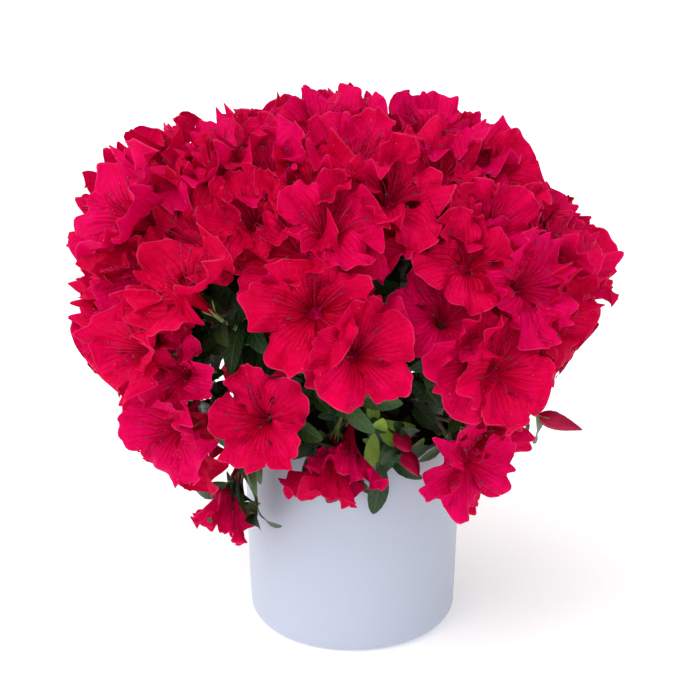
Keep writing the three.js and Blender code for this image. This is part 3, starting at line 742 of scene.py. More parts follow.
def twig_to(tip, index, strict=True):
    """Grows a twig to a tip from its mass's nearest wood, unless it would cross the pot or the next mass."""
    seat, wood = along_mass(index, MASS_START), woods[index]
    end = tip["base"] + 0.001 * tip["axis"]
    costs = [np.linalg.norm(place - end) + STEM_PULL * np.linalg.norm(place - seat) for place in wood]
    fork = wood[int(np.argmin(costs))]
    line = fork + (end - fork) * np.linspace(0, 1, 5)[:, None]
    inside = ((line - HEART) @ BORDERS[index].T).min() > -NEIGHBOURLY
    if not clear_of_pot(line).all() or strict and not inside:
        return
    wood.append(fork + FORK_SHARE * (end - fork))
    length = np.linalg.norm(end - fork)
    bend = end - 0.35 * length * tip["axis"] + 0.05 * length * across(tip["axis"])[0]
    slim = SLIM_TUFT if tip["kind"] == "tuft" else 1
    radii = slim * TWIG_RADIUS * np.linspace(1.15, 0.85, 8)
    twig_parts.append(tube(bezier(fork, bend, end, np.linspace(0, 1, 8)), radii, 6))
    tips.append({**tip, "mass": index, "way": unit(end - bend)})


tips, twig_parts, woods = [], [], []
for index, name in enumerate(NAMES):
    seat = along_mass(index, MASS_START)
    straight = seat + 0.006 * DIRECTIONS[index]
    stem_tip = along_mass(index, STEM_END)
    if name in LOW_GROWTH:
        stem_tip = lifted_over_rim(stem_tip)
    path = bezier(seat - 0.004 * DIRECTIONS[index], straight, stem_tip, np.linspace(0, 1, 9))
    twig_parts.append(tube(path, np.linspace(MASS_STEM_RADIUS, TWIG_RADIUS, 9), 6))
    woods.append([straight, stem_tip])
    ends = [tip_of(one, index) for one in growths[index] if one["kind"] not in LEAFY_KINDS]
    for tip in sorted(ends, key=lambda tip: np.linalg.norm(tip["base"] - seat)):
        twig_to(tip, index)

# A bloom more grows wherever the crown would be left bare.
for number in range(FILLERS):
    draw = draws(5000 + number)
    elevation = math.degrees(math.asin(FILL_LOWEST + (1 - FILL_LOWEST) * (number + 0.5) / FILLERS))
    direction = pointing(GOLDEN * number, elevation)
    taken = np.array([tip["direction"] for tip in tips if tip["kind"] == "open"])
    bare = (taken @ direction).max() < math.cos(math.radians(FILL_SPACE))
    index = int(np.argmax(DIRECTIONS @ direction))
    if bare and not in_open_place(direction) and NAMES[index] not in LOW_GROWTH:
        filler = growth(index, "open", direction, FILL_EDGE, draw, *FILL_BACK)
        twig_to(tip_of(filler, index), index, strict=False)

blooms = [tip for tip in tips if tip["kind"] in ("open", "half")]
open_blooms = [tip for tip in blooms if tip["kind"] == "open"]
bloom_axes = np.array([tip["axis"] for tip in open_blooms])
bloom_sizes = np.array([tip["size"] for tip in open_blooms])
bloom_bases = np.array([tip["base"] for tip in open_blooms])


def in_a_bloom(points):
    """Whether any of some points stands in the face of an open bloom."""
    away = (points[:, None] - bloom_bases) / bloom_sizes[:, None]
    high = (away * bloom_axes).sum(2)
    wide = np.linalg.norm(away - high[..., None] * bloom_axes, axis=2)
    return ((high > FACE_START) & (high < FACE_END) & (wide < FACE_WIDTH)).any()


# Leaves fill in round the blooms, but don't stand in them.
for index, name in enumerate(NAMES):
    seat = along_mass(index, MASS_START)
    ends = [tip_of(one, index) for one in growths[index] if one["kind"] in LEAFY_KINDS]
    for tip in sorted(ends, key=lambda tip: np.linalg.norm(tip["base"] - seat)):
        if not in_a_bloom(tip["base"][None]):
            twig_to(tip, index)

twig_colours = (0.05, 0.035, 0.02, 1), (0.20, 0.17, 0.09, 1)
twig_bark = patterned("twig_bark", bark_group, twig_colours, 0.8, 0.0004, Roughness=0.75)[0]
twigs = mesh_object("twigs", *joined(twig_parts), twig_bark)
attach(twigs, "root")

# ---------------------------------------------------------------- blooms
# Each bloom is one thin corolla: a slender tube that opens into five broad, ruffled, overlapping lobes. The
# upper lobe has a fan of dark speckles. The colour is a deep rose crimson, a little different from spray to
# spray, deeper in the throat, partly as painted shade of the folds, with fine veins and a painted highlight
# along the margin.

LOBES = 5
ACROSS, ALONG = 24, 17  # the grid of one lobe
TUBE = 0.42  # lengths in parts of the bloom's radius
LOBE = 0.96
TUBE_SHARE = 0.3  # share of the map's height that the tube takes
LOBE_FOOT = 0.45  # share at which the lobes part
FLARE = 71  # degrees between the axis and an open bloom's lobes
FLARE_WANDER = 9
HALF_FLARES = {"rim_front": 36, "hanging_left": 20}
UPPER_LESS = 6  # degrees by which the upper lobe flares less
TUBE_LEAN = 9  # degrees between the axis and the wall of the tube
TUBE_RADIUS = 0.035
# Half the width of a lobe in degrees, by its map's height.
LOBE_HALVES = {0: 38, TUBE_SHARE: 38, 0.45: 43, 0.6: 46, 1: 49}
TURN_WANDER = 0.06
CURL = (-22, 42)  # degrees that a lobe's end curls back
ROLL = (-18, 28)  # degrees that its sides roll
SCALLOPS = [(11, 0.022), (19, 0.016)]  # waves along the margin, and their depth
NOTCH = 0.05  # deepest notch at a lobe's end
MIDRIB_FOLD = -0.035
BILLOW = 0.07
TWIST = 0.16
SHINGLE = 0.022  # how far one side of a lobe lies over the next lobe
HALF_CRUMPLE = 0.65
RUFFLES = [(3.4, 0.45), (6.5, 0.45), (11, 0.42), (17, 0.26)]  # waves round a lobe's margin, their strength
FINE_RUFFLE = 8  # waves beyond this count stay close to the margin
RUFFLE = 0.195
CROWDING = 0.3  # how far a lobe gives way where it meets the next bloom
NEIGHBOURS = 8  # how many blooms beside it a bloom gives way to
BORDER_ROOM = 0.004  # how far short of the plane between two blooms that begins
SOFT_MEETING = 0.012  # over what depth it is gentle at first
SLIDE = 0.8  # how much of that goes over or under the next bloom
CLEAR_STEP = 0.008  # a bloom that reaches further than the next one by this lies plainly over it
SHADES = {  # lit colour and deeper colour of each shade of blossom
    "rose": ((0.80, 0.0, 0.130, 1), (0.60, 0.0, 0.034, 1)),
    "crimson": ((0.76, 0.0, 0.085, 1), (0.56, 0.0, 0.020, 1)),
    "cherry": ((0.73, 0.0, 0.070, 1), (0.52, 0.0, 0.015, 1)),
    "carmine": ((0.78, 0.0, 0.105, 1), (0.58, 0.0, 0.026, 1)),
}


def ramp(low, high, value):
    """Rises smoothly from 0 to 1 as a value goes from low to high."""
    share = np.clip((value - low) / (high - low), 0, 1)
    return share * share * (3 - 2 * share)


lobe_u = np.linspace(-1, 1, ACROSS + 1)[:, None]
lobe_v = (np.linspace(0, 1, ALONG + 1) ** 0.8)[None, :]
lobe_free = ramp(TUBE_SHARE, 0.6, lobe_v)
lobe_end = np.maximum((lobe_v - LOBE_FOOT) / (1 - LOBE_FOOT), 0)
lobe_narrow = np.sqrt(1 - 0.5 * lobe_end**2)  # these two round the grid off to an oval
lobe_short = np.sqrt(1 - 0.5 * lobe_u**2)
lobe_back = 0.35 * (lobe_end == 0) * (LOBE_FOOT - lobe_v) / LOBE_FOOT
lobe_round = np.arctan2(lobe_u * lobe_narrow, lobe_end * lobe_short - lobe_back)
lobe_margin = np.clip(np.hypot(lobe_u * lobe_narrow, lobe_end * lobe_short), 0, 1) ** 2.1 * lobe_free
lobe_middle = np.exp(-((lobe_u / 0.16) ** 2))
lobe_half = np.interp(lobe_v, list(LOBE_HALVES), list(LOBE_HALVES.values())) * lobe_narrow
LOBE_FACES = grid_faces(ACROSS + 1, ALONG + 1)


def corolla_lobe(turn, flare, tile, flip, draw, crumple):
    """Points and map of one lobe and its strip of the tube, for a radius of 1 and with the axis along Z."""
    waves = 0
    for count, share in RUFFLES:
        near_margin = lobe_margin if count > FINE_RUFFLE else 1
        waves = waves + share * near_margin * np.sin(count * lobe_round + draw(0, 2 * math.pi))
    scallop = 0
    for count, depth in SCALLOPS:
        scallop = scallop + depth * np.sin(count * lobe_round + draw(0, 6))
    scallop = 1 + lobe_margin * (scallop + draw(-0.05, 0.05) * np.sin(3 * lobe_round + draw(0, 6)))
    notch = draw(0, NOTCH) * lobe_middle
    ahead = np.clip(lobe_v, TUBE_SHARE, LOBE_FOOT) - TUBE_SHARE
    ahead = ahead + (1 - LOBE_FOOT) * lobe_end * lobe_short * (scallop - notch)
    length = LOBE * draw(0.94, 1.06) / (1 - TUBE_SHARE)
    run = TUBE * np.minimum(lobe_v / TUBE_SHARE, 1) + length * ahead
    curl = draw(*CURL) * crumple
    rolls = np.where(lobe_u < 0, draw(*ROLL), draw(*ROLL)) * crumple
    lean = TUBE_LEAN + (flare - TUBE_LEAN) * ramp(0.16, 0.56, lobe_v) + curl * ramp(0.6, 1, lobe_v)
    lean = np.radians(lean + rolls * np.abs(lobe_u) ** 1.4 * ramp(0.4, 0.95, lobe_v))
    step = np.diff(run, axis=1)
    middle = 0.5 * (lean[:, 1:] + lean[:, :-1])
    zero = np.zeros((ACROSS + 1, 1))
    out = TUBE_RADIUS + np.concatenate([zero, np.cumsum(np.sin(middle) * step, axis=1)], axis=1)
    rise = np.concatenate([zero, np.cumsum(np.cos(middle) * step, axis=1)], axis=1)
    fold = MIDRIB_FOLD * lobe_middle * lobe_free + 0.012 * np.cos(9 * lobe_u) * lobe_free
    billow = BILLOW * np.sin(2.2 * math.pi * lobe_v + draw(0, 6))
    billow = billow * np.sin(1.3 * math.pi * lobe_u + draw(0, 6))
    twist = TWIST * draw(-1, 1) * lobe_u * lobe_free
    shingle = SHINGLE * lobe_u * ramp(0.28, 0.5, lobe_v)
    lift = crumple * (RUFFLE * waves * lobe_margin + billow * lobe_free + twist) + fold + shingle
    out = out - np.cos(lean) * lift
    rise = rise + np.sin(lean) * lift
    sway = 0.05 * np.sin(5 * lobe_v + draw(0, 6))
    angle = turn + np.radians(lobe_half * scallop) * lobe_u * draw(0.94, 1.1) + sway * lobe_free
    points = np.stack([out * np.cos(angle), out * np.sin(angle), rise], -1).reshape(-1, 3)
    u = 0.5 + 0.5 * (-lobe_u if flip else lobe_u)
    places = np.stack([(tile + 0.01 + 0.98 * u + 0 * lobe_v) / 3, lobe_v + 0 * lobe_u], -1).reshape(-1, 2)
    return points, LOBE_FACES, places


def facing(axis, turn=0):
    """Three unit vectors of a bloom: to its side, towards its upper lobe, and along its axis."""
    upright = UP - np.dot(UP, axis) * axis
    upright = unit(upright) if np.linalg.norm(upright) > 0.05 else across(axis)[0]
    side = np.cross(upright, axis)
    cosine, sine = math.cos(turn), math.sin(turn)
    return np.array([cosine * side + sine * upright, cosine * upright - sine * side, axis])


RIM_BAND = 0.012  # what lies in the wall this close below the rim is lifted over it


def off_the_pot(points, clearance=0.0015):
    """Points that are carried over or past the pot's wall where they would lie in it or in the mix."""
    out = np.maximum(np.hypot(points[:, 0], points[:, 1]), 1e-6)
    height = points[:, 2]
    low = (height < POT_HEIGHT + clearance) & (out < RIM_RADIUS + clearance)
    wall = low & (out > RIM_RADIUS - WALL - 2 * clearance)
    lift = wall & (height > POT_HEIGHT - RIM_BAND)
    push = wall & ~lift
    share = np.where(push, (RIM_RADIUS + clearance) / out, 1)
    height = np.where(lift, POT_HEIGHT + clearance, height)
    height = np.where(low & ~wall, np.maximum(height, MIX_CROWN + clearance), height)
    return np.stack([points[:, 0] * share, points[:, 1] * share, height], 1)


bloom_directions = np.array([tip["direction"] for tip in blooms])
bloom_middles = np.array([tip["base"] + tip["axis"] * 0.5 * tip["radius"] for tip in blooms])
bloom_reaches = np.linalg.norm(bloom_middles - HEART, axis=1)


def given_way(points, number, axis):
    """Lobes that bend up or down where they meet the blooms beside them."""
    near = np.argsort(-bloom_directions @ bloom_directions[number])[1 : NEIGHBOURS + 1]
    for other in near:
        border = unit(bloom_directions[number] - bloom_directions[other])
        past = np.maximum(BORDER_ROOM - (points - HEART) @ border, 0)[:, None]
        over = CROWDING * past * past / (past + SOFT_MEETING)
        above = math.tanh((bloom_reaches[number] - bloom_reaches[other]) / CLEAR_STEP)
        points = points + over * border + SLIDE * above * over * axis
    return points


def inside_outline(points, soft=0.014):
    """Lobes that bend back at the crown's outline."""
    far, outline = seen_reach(points)
    past = np.maximum(far - outline, 0)
    share = np.where(past > 0, (outline + soft * np.tanh(past / soft)) / far, 1)
    points = HEART + (points - HEART) * share[:, None]
    behind = np.maximum(points[:, 1] - BACK_REACH, 0)
    points[:, 1] += soft * np.tanh(behind / soft) - behind
    return points


petal_parts = {shade: [] for shade in SHADES}
for number, tip in enumerate(blooms):
    draw, half_open = draws(9000 + number), tip["kind"] == "half"
    around = facing(tip["axis"], draw(-0.5, 0.5))
    open_to = HALF_FLARES[NAMES[tip["mass"]]] if half_open else FLARE
    parts = []
    for lobe in range(LOBES):
        turn = math.pi / 2 + 2 * math.pi * lobe / LOBES + draw(-TURN_WANDER, TURN_WANDER)
        flare = draw(-FLARE_WANDER, FLARE_WANDER) + open_to - (UPPER_LESS if lobe == 0 else 0)
        tile = {0: 1, 1: 2, LOBES - 1: 2}.get(lobe, 0)
        parts.append(corolla_lobe(turn, flare, tile, lobe == 1, draw, HALF_CRUMPLE if half_open else 1))
    points, faces, places = joined(parts)
    points = tip["base"] + tip["size"] * points @ around
    points = off_the_pot(inside_outline(given_way(points, number, tip["axis"])))
    tip["around"] = around
    petal_parts[list(SHADES)[number % len(SHADES)]].append((points, faces, places))


def petal_pattern():
    """Colour and relief of a lobe by its map, whose three tiles are a plain, an upper and a shoulder lobe."""
    tree, given, result = pattern_group("petal_pattern", ("Lit", "Deep"), ("Color", "Roughness", "Height"))
    place = add(tree, "ShaderNodeUVMap", uv_map="OFBake").outputs[0]
    split = add(tree, "ShaderNodeSeparateXYZ", {"Vector": place})
    wide = calculate(tree, "MULTIPLY", split.outputs["X"], 3.0)
    across = calculate(tree, "MULTIPLY_ADD", calculate(tree, "FRACT", wide), 2.0, -1.0)
    along = split.outputs["Y"]
    aside = calculate(tree, "ABSOLUTE", across)
    upper = calculate(tree, "COMPARE", wide, 1.5, 0.5)
    shoulder = calculate(tree, "COMPARE", wide, 2.5, 0.5)

    # Cloudy mottling, and fine veins that fan out beside a stronger midrib and fade towards the margin.
    long = calculate(tree, "MULTIPLY", along, 2.4)
    flat = add(tree, "ShaderNodeCombineXYZ", {"X": wide, "Y": long}).outputs[0]
    mottle = noise(tree, flat, 4.2, 5)
    wobble = calculate(tree, "MULTIPLY_ADD", mottle, 1.6, calculate(tree, "MULTIPLY", across, 11.0))
    fan = calculate(tree, "MULTIPLY_ADD", calculate(tree, "MULTIPLY", across, along), 9.0, wobble)
    ribs = calculate(tree, "ABSOLUTE", calculate(tree, "SINE", fan))
    vein = calculate(tree, "POWER", calculate(tree, "SUBTRACT", 1.0, ribs), 5.0)
    midrib = calculate(tree, "SUBTRACT", 1.0, calculate(tree, "MULTIPLY", aside, 9.0), clamp=True)
    vein = calculate(tree, "MAXIMUM", vein, midrib)
    vein = calculate(tree, "MULTIPLY", vein, ranged(tree, along, From_Min=1, From_Max=0.35))

    # Dark speckles in a fan on the upper lobe, and on the near edges of the two lobes beside it.
    dots = add(tree, "ShaderNodeTexVoronoi", {"Vector": flat, "Scale": 17, "Randomness": 0.9})
    dot = ranged(tree, dots.outputs["Distance"], From_Min=0.46, From_Max=0.26)
    taper = calculate(tree, "MULTIPLY_ADD", along, -1.5, 1.22)
    inside_upper = calculate(tree, "SUBTRACT", taper, aside)
    inside_upper = calculate(tree, "MULTIPLY_ADD", inside_upper, 7.0, 0.5, clamp=True)
    corner = calculate(tree, "MULTIPLY_ADD", along, -1.6, 1.35)
    edge = calculate(tree, "SUBTRACT", 1.0, across)
    inside_shoulder = calculate(tree, "SUBTRACT", corner, edge)
    inside_shoulder = calculate(tree, "MULTIPLY_ADD", inside_shoulder, 5.0, 0.0, clamp=True)
    fan_area = calculate(tree, "MULTIPLY", inside_shoulder, shoulder)
    fan_area = calculate(tree, "MULTIPLY_ADD", inside_upper, upper, fan_area)
    speckle = calculate(tree, "MULTIPLY", fan_area, calculate(tree, "MULTIPLY_ADD", dot, 0.74, 0.20))

    # A deeper colour in the throat, partly the bloom's own and partly painted shade of the folds, along the
    # veins and in clouds, and a thin pale line along the margin that is a painted highlight.
    throat_colour_and_shade = ranged(tree, along, From_Min=0.78, From_Max=0.34)
    deep = calculate(tree, "MULTIPLY_ADD", mottle, 1.7, -0.5, clamp=True)
    deep = calculate(tree, "MAXIMUM", deep, calculate(tree, "MULTIPLY", throat_colour_and_shade, 0.9))
    deep = calculate(tree, "MULTIPLY_ADD", vein, 0.4, deep, clamp=True)
    colour = blended(tree, deep, given["Lit"], given["Deep"])
    colour = blended(tree, speckle, colour, (0.16, 0.0, 0.016, 1))
    # painted highlight: a pale pink line along the margin, where light catches the thin curled edges
    highlight_side = calculate(tree, "MULTIPLY_ADD", aside, 36.0, -35.0, clamp=True)
    highlight_end = calculate(tree, "MULTIPLY_ADD", along, 46.0, -45.0, clamp=True)
    free = calculate(tree, "GREATER_THAN", along, 0.5)
    rim_highlight = calculate(tree, "MULTIPLY", calculate(tree, "MAXIMUM", highlight_side, highlight_end), free)
    rim_highlight = calculate(tree, "MULTIPLY", rim_highlight, calculate(tree, "MULTIPLY_ADD", mottle, 2.4, -0.5, clamp=True))
    colour = blended(tree, calculate(tree, "MULTIPLY", rim_highlight, 0.5), colour, (0.94, 0.10, 0.27, 1))

    # Scattered pale dots, painted highlights where dew drops would glint, and a fine crimp that runs along
    # the lobe and grows towards its end.
    dew_glints = add(tree, "ShaderNodeTexVoronoi", {"Vector": flat, "Scale": 7.5, "Randomness": 1})
    grain = calculate(tree, "LESS_THAN", dew_glints.outputs["Distance"], 0.055)
    grain = calculate(tree, "MULTIPLY", grain, 0.6)
    colour = blended(tree, grain, colour, (0.95, 0.35, 0.42, 1))
    spread = calculate(tree, "MULTIPLY", wide, 9.0)
    narrow = add(tree, "ShaderNodeCombineXYZ", {"X": spread, "Y": along}).outputs[0]
    crimp = calculate(tree, "MULTIPLY", noise(tree, narrow, 2.2), calculate(tree, "POWER", along, 2.0))
    height = calculate(tree, "MULTIPLY_ADD", crimp, 1.6, mottle)
    height = calculate(tree, "MULTIPLY_ADD", vein, -0.7, height)
    soft = ranged(tree, mottle, To_Min=0.42, To_Max=0.62)
    linked(tree, result, Color=colour, Roughness=soft, Height=height)
    return tree


petal_group = petal_pattern()
PETAL_SHEEN = {"Sheen_Weight": 0.05, "Sheen_Roughness": 0.4, "Sheen_Tint": (1, 0.0, 0.4, 1)}
LIGHT_THROUGH = 0.16  # share of the light that passes through a petal
for shade, parts in petal_parts.items():
    settings = {"Specular_IOR_Level": 0.035, **PETAL_SHEEN}
    petal, tree, shader, pattern = patterned(
        f"petal_{shade}", petal_group, SHADES[shade], 0.8, 0.0022, **settings
    )
    glow = add(tree, "ShaderNodeBsdfTranslucent", {"Color": pattern.outputs["Color"]})
    both = add(tree, "ShaderNodeMixShader", {0: LIGHT_THROUGH, 1: shader.outputs[0], 2: glow.outputs[0]})
    linked(tree, tree.nodes["Material Output"], Surface=both.outputs[0])
    points, faces, places = joined(parts)
    blossom = mesh_object(f"blossom_{shade}", points, faces, petal, places)
    if shade == list(SHADES)[0]:
        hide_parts(*[f"mass_{name}" for name in NAMES])
    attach(blossom, "root")

# ---------------------------------------------------------------- stamens and styles
# From each throat rise five to eight thin filaments, pink-red and curved, each with a dark anther at its end,
# and one longer style with a blunt tip.

STAMENS = (5, 8)
FILAMENT_RADIUS = 0.00036
ANTHER_RADIUS = 0.00075
ANTHER_LENGTH = 0.0024
STYLE_TIP_LENGTH = 0.0014


def spindle(centre, way, radius, length):
    """A small closed grain round a line."""
    path = centre + np.outer([-0.5, -0.28, 0.28, 0.5], way) * length
    return tube(path, radius * np.array([0.15, 0.9, 0.9, 0.15]), 5)


filament_parts, anther_parts = [], []
for number, tip in enumerate(blooms):
    draw = draws(12000 + number)
    side, upright, axis = tip["around"]
    radius, base = tip["size"], tip["base"]
    close = 0.5 if tip["kind"] == "half" else 1
    count = int(draw(STAMENS[0], STAMENS[1] + 1))
    drift = draw(-0.7, 0.7)
    for filament in range(count + 1):
        style = filament == count
        turn = drift + 2 * math.pi * (filament + draw(-0.3, 0.3)) / count
        out = close * draw(0.24, 0.5) * (1.25 if style else 1)
        high = draw(0.68, 0.86) * (1.12 if style else 1)
        aside = math.cos(turn) * side + math.sin(turn) * upright
        start = base + radius * (0.2 * axis + 0.02 * aside)
        bend = base + radius * (0.72 * axis + 0.08 * aside)
        end = base + radius * (high * axis + out * aside + 0.16 * close * upright)
        path = bezier(start, bend, end, np.linspace(0, 1, 7))
        filament_parts.append(tube(path, np.linspace(1, 0.75, 7) * FILAMENT_RADIUS, 4))
        if style:
            filament_parts.append(spindle(end, unit(end - bend), 1.7 * FILAMENT_RADIUS, STYLE_TIP_LENGTH))
        else:
            way = unit(end - bend + draw(-1, 1) * 0.02 * side)
            anther_parts.append(spindle(end, way, ANTHER_RADIUS, ANTHER_LENGTH))

thread, tree, shader = material("filament", Roughness=0.5, Specular_IOR_Level=0.15)
place = add(tree, "ShaderNodeTexCoord").outputs["Object"]
flush = noise(tree, place, 90)
linked(tree, shader, Base_Color=blended(tree, flush, (0.28, 0.0, 0.02, 1), (0.60, 0.005, 0.09, 1)))
filaments = mesh_object("filaments", *joined(filament_parts), thread)
grain, tree, shader = material("anther", Roughness=0.5)
place = add(tree, "ShaderNodeTexCoord").outputs["Object"]
powder = noise(tree, place, 300)
linked(tree, shader, Base_Color=blended(tree, powder, (0.002, 0.008, 0.012, 1), (0.02, 0.04, 0.05, 1)))
anthers = mesh_object("anthers", *joined(anther_parts), grain)
for piece in (filaments, anthers):
    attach(piece, "root")

# ---------------------------------------------------------------- buds
# A bud is a plump pointed spindle of furled petals, darker than the open blooms, whose folds turn round it.

BUD_SIDES, BUD_RINGS = 30, 22
BUD_SIZES = {"side_right": 0.0185, "rim_right": 0.016}
BUD_LENGTH = 1.9  # in parts of the bud's size
BUD_FATNESS = 0.40
BUD_CURVE = 0.12
FURL_DEPTH = 0.16
bud_parts = []
for number, tip in enumerate([tip for tip in tips if tip["kind"] == "buds"]):
    draw = draws(15000 + number)
    angles = np.linspace(0, 2 * math.pi, BUD_SIDES, endpoint=False)[None, :]
    shares = np.linspace(0.001, 1, BUD_RINGS)[:, None]
    outline = BUD_FATNESS * np.sin(math.pi * shares**0.72) ** 0.85 * (1 - 0.35 * shares) + 0.02
    furl = (2.5 * angles / math.pi + 1.1 * shares + draw(0, 1)) % 1 - 0.5
    folds = 1 + FURL_DEPTH * furl * ramp(0.1, 0.5, shares)
    size = BUD_SIZES[NAMES[tip["mass"]]]
    line = tip["base"] + np.outer(shares[:, 0] * BUD_LENGTH * size, tip["axis"])
    line += np.outer(np.sin(2 * shares[:, 0]) * BUD_CURVE * size, across(tip["axis"])[0])
    bud_parts.append(tube(line, size * outline * folds, BUD_SIDES))

furled, tree, shader = material("furled_petal", Roughness=0.45, Specular_IOR_Level=0.2)
place = add(tree, "ShaderNodeTexCoord").outputs["Object"]
streak = noise(tree, place, 160, 3)
bud_red = blended(tree, streak, (0.26, 0.0, 0.03, 1), (0.60, 0.0, 0.07, 1))
linked(tree, shader, Base_Color=bud_red, Normal=bumped(tree, streak, 0.4, 0.0008))
buds = mesh_object("buds", *joined(bud_parts), furled)
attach(buds, "root")

# ---------------------------------------------------------------- leaves
# Leaves stand in whorls below each bloom and at the tips of leafy twigs: leathery, elliptic and dark green,
# folded slightly along a paler midrib. New leaves near the rim are smaller and yellow-green.

LEAF_LENGTH = 0.034
LEAF_WANDER = 0.007
LEAF_WIDTH = 0.0135
YOUNG_LENGTH = 0.8  # of a young leaf to the others
LEAF_GRID = (4, 8)
TO_LIGHT = 0.9  # how much a leaf's upper face turns outwards
GREEN_SHARE = 0.3  # share of the sprays whose leaves are a lighter green
LEAF_CLEARANCE = 0.0008
PAST_BORDER = 0.006  # how far leaves reach into the next mass
LEAF_FOOT = 0.003  # from the root of its stalk to the blade
LEAF_STALK = 0.004
LEAF_STALK_RADII = [0.0006, 0.0005, 0.0004]
WHORLS = {"open": 5, "half": 6, "buds": 6, "leafy": 9, "young": 7, "tuft": 7}
LEAF_COLOURS = {  # blade, deeper blade and rib
    "dark": ((0.016, 0.062, 0.014, 1), (0.006, 0.026, 0.007, 1), (0.08, 0.15, 0.05, 1)),
    "green": ((0.030, 0.095, 0.016, 1), (0.012, 0.044, 0.010, 1), (0.12, 0.22, 0.06, 1)),
    "young": ((0.24, 0.42, 0.04, 1), (0.13, 0.26, 0.024, 1), (0.40, 0.55, 0.12, 1)),
}

leaf_u = np.linspace(-1, 1, LEAF_GRID[0] + 1)[:, None]
leaf_v = 0.5 - 0.5 * np.cos(np.linspace(0, math.pi, LEAF_GRID[1] + 1))[None, :]
leaf_half = np.sin(math.pi * leaf_v**1.1) ** 0.62 * 0.97 + 0.03 * (1 - leaf_v)
LEAF_FACES = grid_faces(LEAF_GRID[0] + 1, LEAF_GRID[1] + 1)


def leaf_blade(root, direction, face, length, width, droop, fold):
    """Points, faces and map of a leaf that runs from its root and droops away from its upper face."""
    ahead = length * np.sin(droop * leaf_v) / droop + 0 * leaf_u
    down = length * (1 - np.cos(droop * leaf_v)) / droop
    out = 0.5 * width * leaf_u * leaf_half
    rise = fold * np.abs(out) - 0.03 * width * np.sin(9 * leaf_v) * leaf_u**2
    points = root + ahead[..., None] * direction + out[..., None] * np.cross(direction, face)
    points = points + (rise - down)[..., None] * face
    places = np.stack([0.5 + 0.5 * leaf_u + 0 * leaf_v, leaf_v + 0 * leaf_u], -1)
    return points.reshape(-1, 3), LEAF_FACES, places.reshape(-1, 2)


leaf_parts = {colour: [] for colour in LEAF_COLOURS}
stalk_parts = []
for number, tip in enumerate(tips):
    draw = draws(20000 + number)
    young = tip["kind"] == "young"
    colour = "young" if young else "green" if draw(0, 1) < GREEN_SHARE else "dark"
    for leaf in range(WHORLS[tip["kind"]]):
        if tip["kind"] in LEAFY_KINDS:
            below, lean = draw(-0.001, 0.014), draw(38, 84)
        else:
            below, lean = draw(0.002, 0.02), draw(55, 100)
        direction = leaning(tip["way"], lean, GOLDEN * leaf + draw(-20, 20))
        length = (LEAF_LENGTH + draw(-LEAF_WANDER, LEAF_WANDER)) * (YOUNG_LENGTH if young else 1)
        light = tip["way"] + TO_LIGHT * tip["direction"]
        face = unit(light - np.dot(light, direction) * direction)
        root = tip["base"] - below * tip["way"]
        width = LEAF_WIDTH * length / LEAF_LENGTH
        droop, fold = draw(0.1, 0.9), draw(0.1, 0.45)
        blade = leaf_blade(root + LEAF_FOOT * direction, direction, face, length, width, droop, fold)
        if not clear_of_pot(blade[0], LEAF_CLEARANCE).all() or in_a_bloom(blade[0]):
            continue
        if ((blade[0] - HEART) @ BORDERS[tip["mass"]].T).min() < -PAST_BORDER:
            continue
        leaf_parts[colour].append(blade)
        path = root + np.outer([0, 0.5, 1], LEAF_STALK * direction)
        stalk_parts.append(tube(path, LEAF_STALK_RADII, 4))


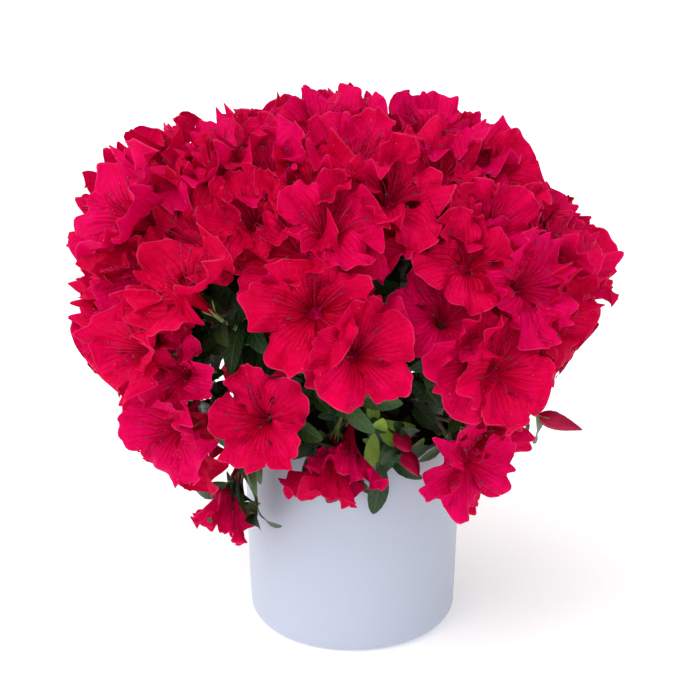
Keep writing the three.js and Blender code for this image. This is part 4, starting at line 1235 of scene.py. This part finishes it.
def leaf_pattern():
    """Colour, roughness and relief of a leaf by its map, with a pale midrib and side veins."""
    colours, results = ("Blade", "Deep", "Rib"), ("Color", "Roughness", "Height")
    tree, given, result = pattern_group("leaf_pattern", colours, results)
    place = add(tree, "ShaderNodeUVMap", uv_map="OFBake").outputs[0]
    split = add(tree, "ShaderNodeSeparateXYZ", {"Vector": place})
    aside = calculate(tree, "ABSOLUTE", calculate(tree, "MULTIPLY_ADD", split.outputs["X"], 2.0, -1.0))
    along = split.outputs["Y"]
    midrib = calculate(tree, "MULTIPLY_ADD", aside, -11.0, 1.0, clamp=True)
    slant = calculate(tree, "MULTIPLY_ADD", aside, -0.22, along)
    waves = calculate(tree, "ABSOLUTE", calculate(tree, "SINE", calculate(tree, "MULTIPLY", slant, 22.0)))
    side_vein = calculate(tree, "POWER", calculate(tree, "SUBTRACT", 1.0, waves), 3.0)
    vein = calculate(tree, "MAXIMUM", midrib, calculate(tree, "MULTIPLY", side_vein, 0.35))
    mottle = noise(tree, place, 6, 3)
    colour = blended(tree, mottle, given["Deep"], given["Blade"])
    colour = blended(tree, calculate(tree, "MULTIPLY", vein, 0.7), colour, given["Rib"])
    height = calculate(tree, "MULTIPLY", vein, -1.0)
    waxy = ranged(tree, mottle, To_Min=0.3, To_Max=0.5)
    linked(tree, result, Color=colour, Roughness=waxy, Height=height)
    return tree


leaf_group = leaf_pattern()
for colour, parts in leaf_parts.items():
    colours = LEAF_COLOURS[colour]
    leathery = patterned(f"leaf_{colour}", leaf_group, colours, 0.6, 0.0006, Specular_IOR_Level=0.28)[0]
    points, faces, places = joined(parts)
    leaves = mesh_object(f"leaves_{colour}", points, faces, leathery, places)
    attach(leaves, "root")

# ---------------------------------------------------------------- flower stalks, sepals and leaf stalks
# Each bloom and bud sits on a short pale green stalk with five narrow sepals, and each leaf on a short stalk.

STALK_LENGTH = 0.012
STALK_RADII = 0.001 * np.array([1.5, 1.5, 1.6, 1.9, 1.2])
SEPALS = 5
SEPAL_LENGTH = 0.009
SEPAL_RADII = 0.001 * np.array([0.9, 0.9, 0.5, 0.05])
for number, tip in enumerate(tips):
    if tip["kind"] in LEAFY_KINDS:
        continue
    draw = draws(26000 + number)
    base, axis = tip["base"], tip["axis"]
    foot = base - STALK_LENGTH * tip["way"]
    path = bezier(foot, base - 0.003 * axis, base + 0.0015 * axis, np.linspace(0, 1, 5))
    stalk_parts.append(tube(path, STALK_RADII, 7))
    for sepal in range(SEPALS):
        out = leaning(axis, draw(12, 34), 360 * sepal / SEPALS + draw(-12, 12))
        tail = base + out * SEPAL_LENGTH * draw(0.8, 1.2)
        path = base + 0.0012 * unit(out - np.dot(out, axis) * axis) + np.outer([0, 0.5, 0.85, 1], tail - base)
        stalk_parts.append(tube(path, SEPAL_RADII, 4))

stalk_colours = (0.13, 0.22, 0.045, 1), (0.30, 0.40, 0.13, 1)
green_stalk = patterned("green_stalk", bark_group, stalk_colours, 0.8, 0.0002, Roughness=0.55)[0]
stalks = mesh_object("stalks_and_sepals", *joined(stalk_parts), green_stalk)
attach(stalks, "root")
